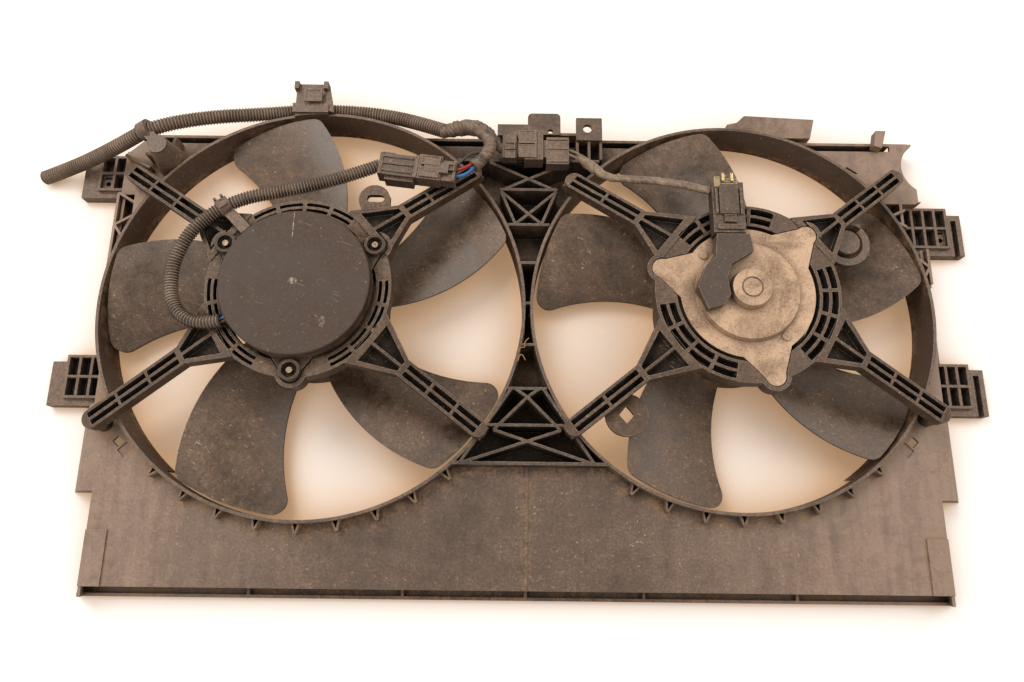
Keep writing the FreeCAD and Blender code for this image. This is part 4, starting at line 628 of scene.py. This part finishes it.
def layHarness():
    tube, mainLine, mainLength = layConduit("mainConduitTube", mainRoute, conduitLook,
                                            "conduitPolyethyleneExtruded")
    rideOnShroud(tube, "conduit_plastic", "main_conduit")
    branch, _, _ = layConduit("branchConduitTube", branchRoute, branchLook, "branchPolyethyleneExtruded")
    rideOnShroud(branch, "conduit_plastic", "branch_conduit")
    print("conduits laid, main length", round(mainLength, 4))

    tapeVinyl = tapeFinish("tapeVinylCalendered", tapeLook)
    layTaped("tapedStem", stemTube, tapeLook, tapeVinyl, "harness_tape", "harness_wrap")
    layTaped("tapedFork", forkTube, tapeLook, tapeVinyl, "harness_tape")
    layTaped("leadSleeve", sleeveTube, sleeveLook, tapeFinish("sleeveVinylCalendered", sleeveLook),
             "lead_sleeve", "right_motor_lead")
    layWire("redPlugWire", redWireRoute, 1.25, redInsulation, "wire_insulation", "left_plug_wires")
    layWire("bluePlugWire", blueWireRoute, 1.45, blueInsulation, "wire_insulation")
    layWire("blackPlugWire", blackWireRoute, 1.2, blackInsulation, "wire_insulation")
    for k, shift in enumerate((-3.4, 0.2)):
        route = [(x + shift * 0.55, y + shift, z + 0.3 * k) for x, y, z in leadWireRoute]
        layWire(f"leadWire{k + 1}", route, 1.15, greyInsulation, "wire_insulation")
    for k, shift in enumerate((-1.6, 1.4)):
        route = [(x, y + shift, z) for x, y, z in motorWireRoute]
        layWire(f"motorWire{k + 1}", route, 1.15, (blackInsulation, blueInsulation)[k], "wire_insulation",
                *(("left_motor_wires",) if k else ()))
    print("tape, sleeve and wires laid")


layHarness()


# small moulded details, each started from a primitive and shaped in edit mode

blockRound = 0.4  # mm, the mould's radius on every edge


def selectFaces(shape, keep):
    for face in shape.faces:
        face.select_set(keep(face))
    shape.select_flush_mode()


def block(name, look, material, slot):
    # a bevelled block, or a cylinder where sides are given, with sunk or raised panels on top, each an
    # inset and a rise; sizes in millimetres
    bpy.ops.object.select_all(action="DESELECT")
    if "sides" in look:
        bpy.ops.mesh.primitive_cylinder_add(vertices=look["sides"], radius=0.5, depth=1.0,
                                            location=(0, 0, 0))
    else:
        bpy.ops.mesh.primitive_cube_add(size=1.0, location=(0, 0, 0))
    piece = bpy.context.object
    piece.name = name
    bpy.ops.object.mode_set(mode="EDIT")
    bpy.ops.transform.resize(value=[edge * mm for edge in look["size"]])
    shape = bmesh.from_edit_mesh(piece.data)
    selectFaces(shape, lambda face: face.normal.z > 0.9)
    bmesh.update_edit_mesh(piece.data)
    for inset, rise in look["panels"]:
        bpy.ops.mesh.inset(thickness=inset * mm, depth=0)
        bpy.ops.mesh.extrude_region_move(TRANSFORM_OT_translate={"value": (0, 0, rise * mm)})
    bpy.ops.object.mode_set(mode="OBJECT")
    softened = piece.modifiers.new("softened", "BEVEL")
    softened.width = blockRound * mm
    softened.segments = 2
    softened.limit_method = "ANGLE"
    bpy.ops.object.modifier_apply(modifier=softened.name)
    x, y, z = look["middle"]
    piece.matrix_world = (Matrix.Translation((x * mm, (y - middleY) * mm, z * mm)) @
                          Matrix.Rotation(math.radians(look.get("turn", 0.0)), 4, "Z"))
    bpy.ops.object.transform_apply(location=True, rotation=True, scale=True)
    piece.data.materials.append(material)
    rideOnShroud(piece, slot)


leftPlugLine = {"start": (-117.5, 346.4), "turn": -6.8}


def onPlugLine(along, aside, z):
    # a place along the left plug and socket
    x, y = leftPlugLine["start"]
    angle = math.radians(leftPlugLine["turn"])
    return (x + along * math.cos(angle) - aside * math.sin(angle),
            y + along * math.sin(angle) + aside * math.cos(angle), z)


def dressLeftConnector():
    details = {
        "socketRibUpper": {"size": (26, 1.6, 1.6), "middle": onPlugLine(15, 6.2, 76.2),
                           "panels": [(0.3, 0.2)]},
        "socketRibMiddle": {"size": (26, 1.6, 1.6), "middle": onPlugLine(15, 0.0, 76.4),
                            "panels": [(0.3, 0.2)]},
        "socketRibLower": {"size": (26, 1.6, 1.6), "middle": onPlugLine(15, -6.6, 76.2),
                           "panels": [(0.3, 0.2)]},
        "socketCollar": {"size": (3.2, 20, 3.0), "middle": onPlugLine(31.0, -0.4, 76.0),
                         "panels": [(0.6, -0.5)]},
        "socketEndBand": {"size": (2.4, 19.4, 2.0), "middle": onPlugLine(2.0, -0.4, 75.9),
                          "panels": [(0.5, 0.2)]},
        "plugHood": {"size": (16, 8.8, 2.6), "middle": onPlugLine(43.0, 5.6, 78.4),
                     "panels": [(1.3, -0.9)]},
        "plugHoodLower": {"size": (16, 8.8, 2.6), "middle": onPlugLine(43.0, -4.9, 78.0),
                          "panels": [(1.3, -0.7)]},
        "plugLatch": {"size": (11, 6.4, 2.0), "middle": onPlugLine(57.5, 2.6, 77.2),
                      "panels": [(1.4, -1.6)]},
        "plugRearLip": {"size": (2.0, 17.4, 3.0), "middle": onPlugLine(62.6, 0.0, 75.2),
                        "panels": [(0.5, -0.5)]}}
    for name, look in details.items():
        look["turn"] = leftPlugLine["turn"]
        dark = name.startswith("socket") and name != "socketCollar"
        block(name, look, plugNylon if dark else connectorNylon, "connector_black")


def dressMiddleConnector():
    details = {
        "middlePlugLatch": {"size": (9, 7, 2.0), "middle": (-9.6, 377.5, 49.8), "panels": [(1.1, -1.4)]},
        "middlePlugLower": {"size": (9, 7.5, 1.6), "middle": (-9.6, 369.5, 49.5), "panels": [(1.0, -0.7)]},
        "middleSocketUpper": {"size": (14.5, 12.4, 2.0), "middle": (5.0, 385.0, 51.6),
                              "panels": [(1.0, -0.8)]},
        "middleSocketLower": {"size": (14.5, 12.4, 2.0), "middle": (5.0, 371.6, 51.6),
                              "panels": [(1.0, -0.8)]},
        "middleSocketLip": {"size": (1.8, 26.6, 3.2), "middle": (12.4, 378.2, 51.4),
                            "panels": [(0.4, 0.2)]},
        "holderBandUpper": {"size": (18.0, 1.5, 1.3), "middle": (31.6, 384.8, 48.4),
                            "panels": [(0.3, 0.3)]},
        "holderBandMiddle": {"size": (18.0, 1.5, 1.3), "middle": (31.6, 376.0, 48.4),
                             "panels": [(0.3, 0.3)]},
        "holderBandLower": {"size": (18.0, 1.5, 1.3), "middle": (31.6, 363.8, 48.4),
                            "panels": [(0.3, 0.3)]}}
    for name, look in details.items():
        block(name, look, connectorNylon, "connector_black")


def dressMotorConnector():
    details = {
        "motorPlugShoulder": {"size": (21, 4.0, 2.6), "middle": (164.4, 285.2, 92.6),
                              "panels": [(0.8, 0.4)]},
        "motorPlugTongue": {"size": (9.5, 6.5, 2.0), "middle": (164.6, 292.4, 93.0),
                            "panels": [(1.2, -1.0)]},
        "motorPlugRibLeft": {"size": (1.8, 22.0, 2.2), "middle": (154.4, 307.0, 93.0),
                             "panels": [(0.4, 0.2)]},
        "motorPlugRibRight": {"size": (1.8, 22.0, 2.2), "middle": (173.8, 307.0, 93.0),
                              "panels": [(0.4, 0.2)]}}
    for name, look in details.items():
        block(name, look, plugNylon, "connector_black")
    locks = {
        "motorPlugLock": {"size": (16.5, 5.0, 4.0), "middle": (163.8, 324.6, 90.4), "panels": [(1.0, -1.2)]},
        "motorPlugLockSide": {"size": (4.5, 9.0, 3.4), "middle": (155.4, 323.4, 92.6),
                              "panels": [(0.9, -1.0)]},
        "motorTerminalLeft": {"size": (2.0, 7.0, 2.2), "middle": (160.4, 327.6, 93.2),
                              "panels": [(0.5, -0.8)]},
        "motorTerminalRight": {"size": (2.0, 7.0, 2.2), "middle": (167.4, 327.6, 93.2),
                               "panels": [(0.5, -0.8)]}}
    for name, look in locks.items():
        block(name, look, ivoryNylon if "Lock" in name else terminalBrass, "connector_ivory")


def dressClips():
    details = {
        "edgeClipHornLeft": {"size": (2.2, 2.6, 5.0), "middle": (-244.2, 305.6, 85.5),
                             "panels": [(0.4, 0.6)], "turn": 35.0},
        "edgeClipHornRight": {"size": (2.2, 2.6, 5.0), "middle": (-239.4, 309.0, 85.5),
                              "panels": [(0.4, 0.6)], "turn": 35.0},
        "edgeClipBuckle": {"size": (8.0, 7.0, 2.0), "middle": (-237.8, 302.1, 88.6),
                           "panels": [(1.2, -0.8)], "turn": 35.0},
        "ringClipCup": {"size": (21.0, 21.0, 9.0), "middle": (271.5, 289.0, 51.8), "sides": 40,
                        "panels": [(3.0, -4.0), (2.2, 0.0), (0.1, 2.4)]},
        "conduitClipPad": {"size": (16.0, 13.0, 1.4), "middle": (-185.5, 428.4, 44.4),
                           "panels": [(2.0, -0.7), (1.5, -0.3)]}}
    for name, look in details.items():
        block(name, look, clipNylon, "clip_plastic")


dressLeftConnector()
dressMiddleConnector()
dressMotorConnector()
dressClips()
print("connectors and clips detailed")


fibres = {  # dried grass caught on the shroud
    "fibreWaistUpper": ((-2, 196, 38.5), (1, 200, 40), (5, 199, 39.5), (4, 205, 38.5), (8, 208, 37.8)),
    "fibreWaistLower": ((5, 189, 38), (3, 194, 39.5), (0, 193, 39.5), (-1, 188, 38))}
for name, route in fibres.items():
    layWire(name, route, 0.4, strawFibre, "wire_insulation")


# every CAD node's finish

nodeFinish = (
    (shroudNylon, ("lower_plate", "left_side_plate", "right_side_plate", "corner_boss",
                  "fixing_tabs", "top_flap", "corner_post")),
    (bracketNylon, ("upper_left_bracket", "lower_left_bracket", "upper_right_bracket",
                    "lower_right_bracket")),
    (barrelNylon, ("left_barrel", "right_barrel")),
    (latticeNylon, ("lower_lattice", "upper_lattice")),
    (carrierNylon, ("left_motor_carrier", "right_motor_carrier")),
    (fanNylon, ("left_fan", "right_fan")),
    (coverNylon, ("left_motor_cover",)),
    (clipNylon, ("conduit_clip", "boss_clip", "ring_clip", "edge_clip")),
    (connectorNylon, ("left_plug", "middle_socket", "middle_plug", "middle_socket_holder")),
    (plugNylon, ("left_socket", "right_motor_connector")),
    (insulatorNylon, ("right_motor_insulator", "left_brush_holder", "right_brush_holder")),
    (endPlateSteel, ("right_motor_end_plate",)),
    (canSteel, ("left_motor_can", "right_motor_can")),
    (screwSteel, ("left_motor_screws", "right_motor_screws", "left_fan_nut", "right_fan_nut")),
    (shaftSteel, ("left_motor_shaft", "right_motor_shaft")),
    (bushBronze, ("left_motor_bearings", "right_motor_bearings")),
    (magnetFerrite, ("left_motor_magnets", "right_motor_magnets")),
    (coreSteel, ("left_armature_core", "right_armature_core")),
    (windingCopper, ("left_armature_windings", "right_armature_windings")),
    (commutatorCopper, ("left_commutator", "right_commutator")),
    (brushCarbon, ("left_motor_brushes", "right_motor_brushes")),
    (sleeveVinyl, ("right_motor_lead", "harness_wrap")),
    (blueInsulation, ("left_motor_wires", "left_plug_wires")))
for material, names in nodeFinish:
    for name in names:
        data = nodes[name].data
        if data.materials:
            for slotIndex in range(len(data.materials)):
                data.materials[slotIndex] = material
        else:
            data.materials.append(material)
unfinished = set(nodes) - {name for _, names in nodeFinish for name in names}
print("nodes without a finish:", sorted(unfinished))


# floor, light and camera

floorLook = {"size": 9.0, "level": -0.0003, "contactReach": 150.0, "base": "#fefefc", "paintedShadeTint": "#d8ae85",
             "lift": 0.42}
roomLook = {"air": "#fff8f0", "strength": 0.42, "seen": "#fefefc", "mirrored": "#fff0de"}
lamps = {"keySoftbox": {"place": (-0.75, 0.85, 1.6), "aim": (0, 0, 0), "size": 0.9, "power": 13.5},
         "leftSoftbox": {"place": (-1.3, -0.2, 1.2), "aim": (0, 0, 0), "size": 0.8, "power": 3.5},
         "rightSoftbox": {"place": (1.1, 0.35, 1.4), "aim": (0.1, 0, 0), "size": 0.9, "power": 6.0}}
lampColour = "#fffaf4"


def layFloor():
    bpy.ops.object.select_all(action="DESELECT")
    bpy.ops.mesh.primitive_plane_add(size=floorLook["size"], location=(0, 0, floorLook["level"]))
    floor = bpy.context.object
    floor.name = "floor"
    material, tree = newMaterial("paleFloorPainted")
    # painted shade: the floor turns warm beige where the shroud hides it from the room
    shade = ramp(tree, openness(tree, floorLook["contactReach"], 12), 0.97, 0.3)
    colour = mixColour(tree, shade, floorLook["base"], floorLook["paintedShadeTint"])
    body = addNode(tree, "ShaderNodeBsdfDiffuse", None, {"Color": colour})
    seen = addNode(tree, "ShaderNodeLightPath").outputs["Is Camera Ray"]
    lift = addNode(tree, "ShaderNodeEmission", None,
                   {"Color": colour, "Strength": maths(tree, "MULTIPLY", seen, floorLook["lift"])})
    both = addNode(tree, "ShaderNodeAddShader", None, {0: body.outputs[0], 1: lift.outputs[0]})
    addNode(tree, "ShaderNodeOutputMaterial", None, {"Surface": both.outputs[0]})
    floor.data.materials.append(material)


def lightRoom():
    world = bpy.data.worlds.new("softRoom")
    bpy.context.scene.world = world
    world.use_nodes = True
    tree = world.node_tree
    tree.nodes.clear()
    air = addNode(tree, "ShaderNodeBackground",
                  {"Color": linearColour(roomLook["air"]), "Strength": roomLook["strength"]})
    path = addNode(tree, "ShaderNodeLightPath")
    pale = mixColour(tree, path.outputs["Is Glossy Ray"], roomLook["seen"], roomLook["mirrored"])
    wall = addNode(tree, "ShaderNodeBackground", {"Strength": 1.0}, {"Color": pale})
    seen = maths(tree, "MAXIMUM", path.outputs["Is Camera Ray"],
                 maths(tree, "MAXIMUM", path.outputs["Is Glossy Ray"], path.outputs["Is Transmission Ray"]))
    both = addNode(tree, "ShaderNodeMixShader", None, {0: seen, 1: air.outputs[0], 2: wall.outputs[0]})
    addNode(tree, "ShaderNodeOutputWorld", None, {"Surface": both.outputs[0]})

    for name, lamp in lamps.items():
        data = bpy.data.lights.new(name, "AREA")
        data.size = lamp["size"]
        data.energy = lamp["power"]
        data.color = linearColour(lampColour)[:3]
        holder = bpy.data.objects.new(name, data)
        holder.location = lamp["place"]
        aim = Vector(lamp["aim"]) - Vector(lamp["place"])
        holder.rotation_euler = aim.to_track_quat("-Z", "Y").to_euler()
        bpy.context.scene.collection.objects.link(holder)


def placeCamera():
    view = {"place": (-0.00728, -0.18474, 0.65895), "elevation": 74.8, "yaw": 0.44, "roll": 1.12,
            "lens": 27.455}
    data = bpy.data.cameras.new("viewCamera")
    data.sensor_width = 36.0
    data.lens = view["lens"]
    camera = bpy.data.objects.new("viewCamera", data)
    turn = (Matrix.Rotation(math.radians(-view["yaw"]), 4, "Z") @
            Matrix.Rotation(math.radians(90 - view["elevation"]), 4, "X") @
            Matrix.Rotation(math.radians(view["roll"]), 4, "Z"))
    camera.matrix_world = Matrix.Translation(view["place"]) @ turn
    bpy.context.scene.collection.objects.link(camera)
    bpy.context.scene.camera = camera


layFloor()
lightRoom()
placeCamera()
bpy.context.scene.view_settings.view_transform = "Standard"
print("stage set")
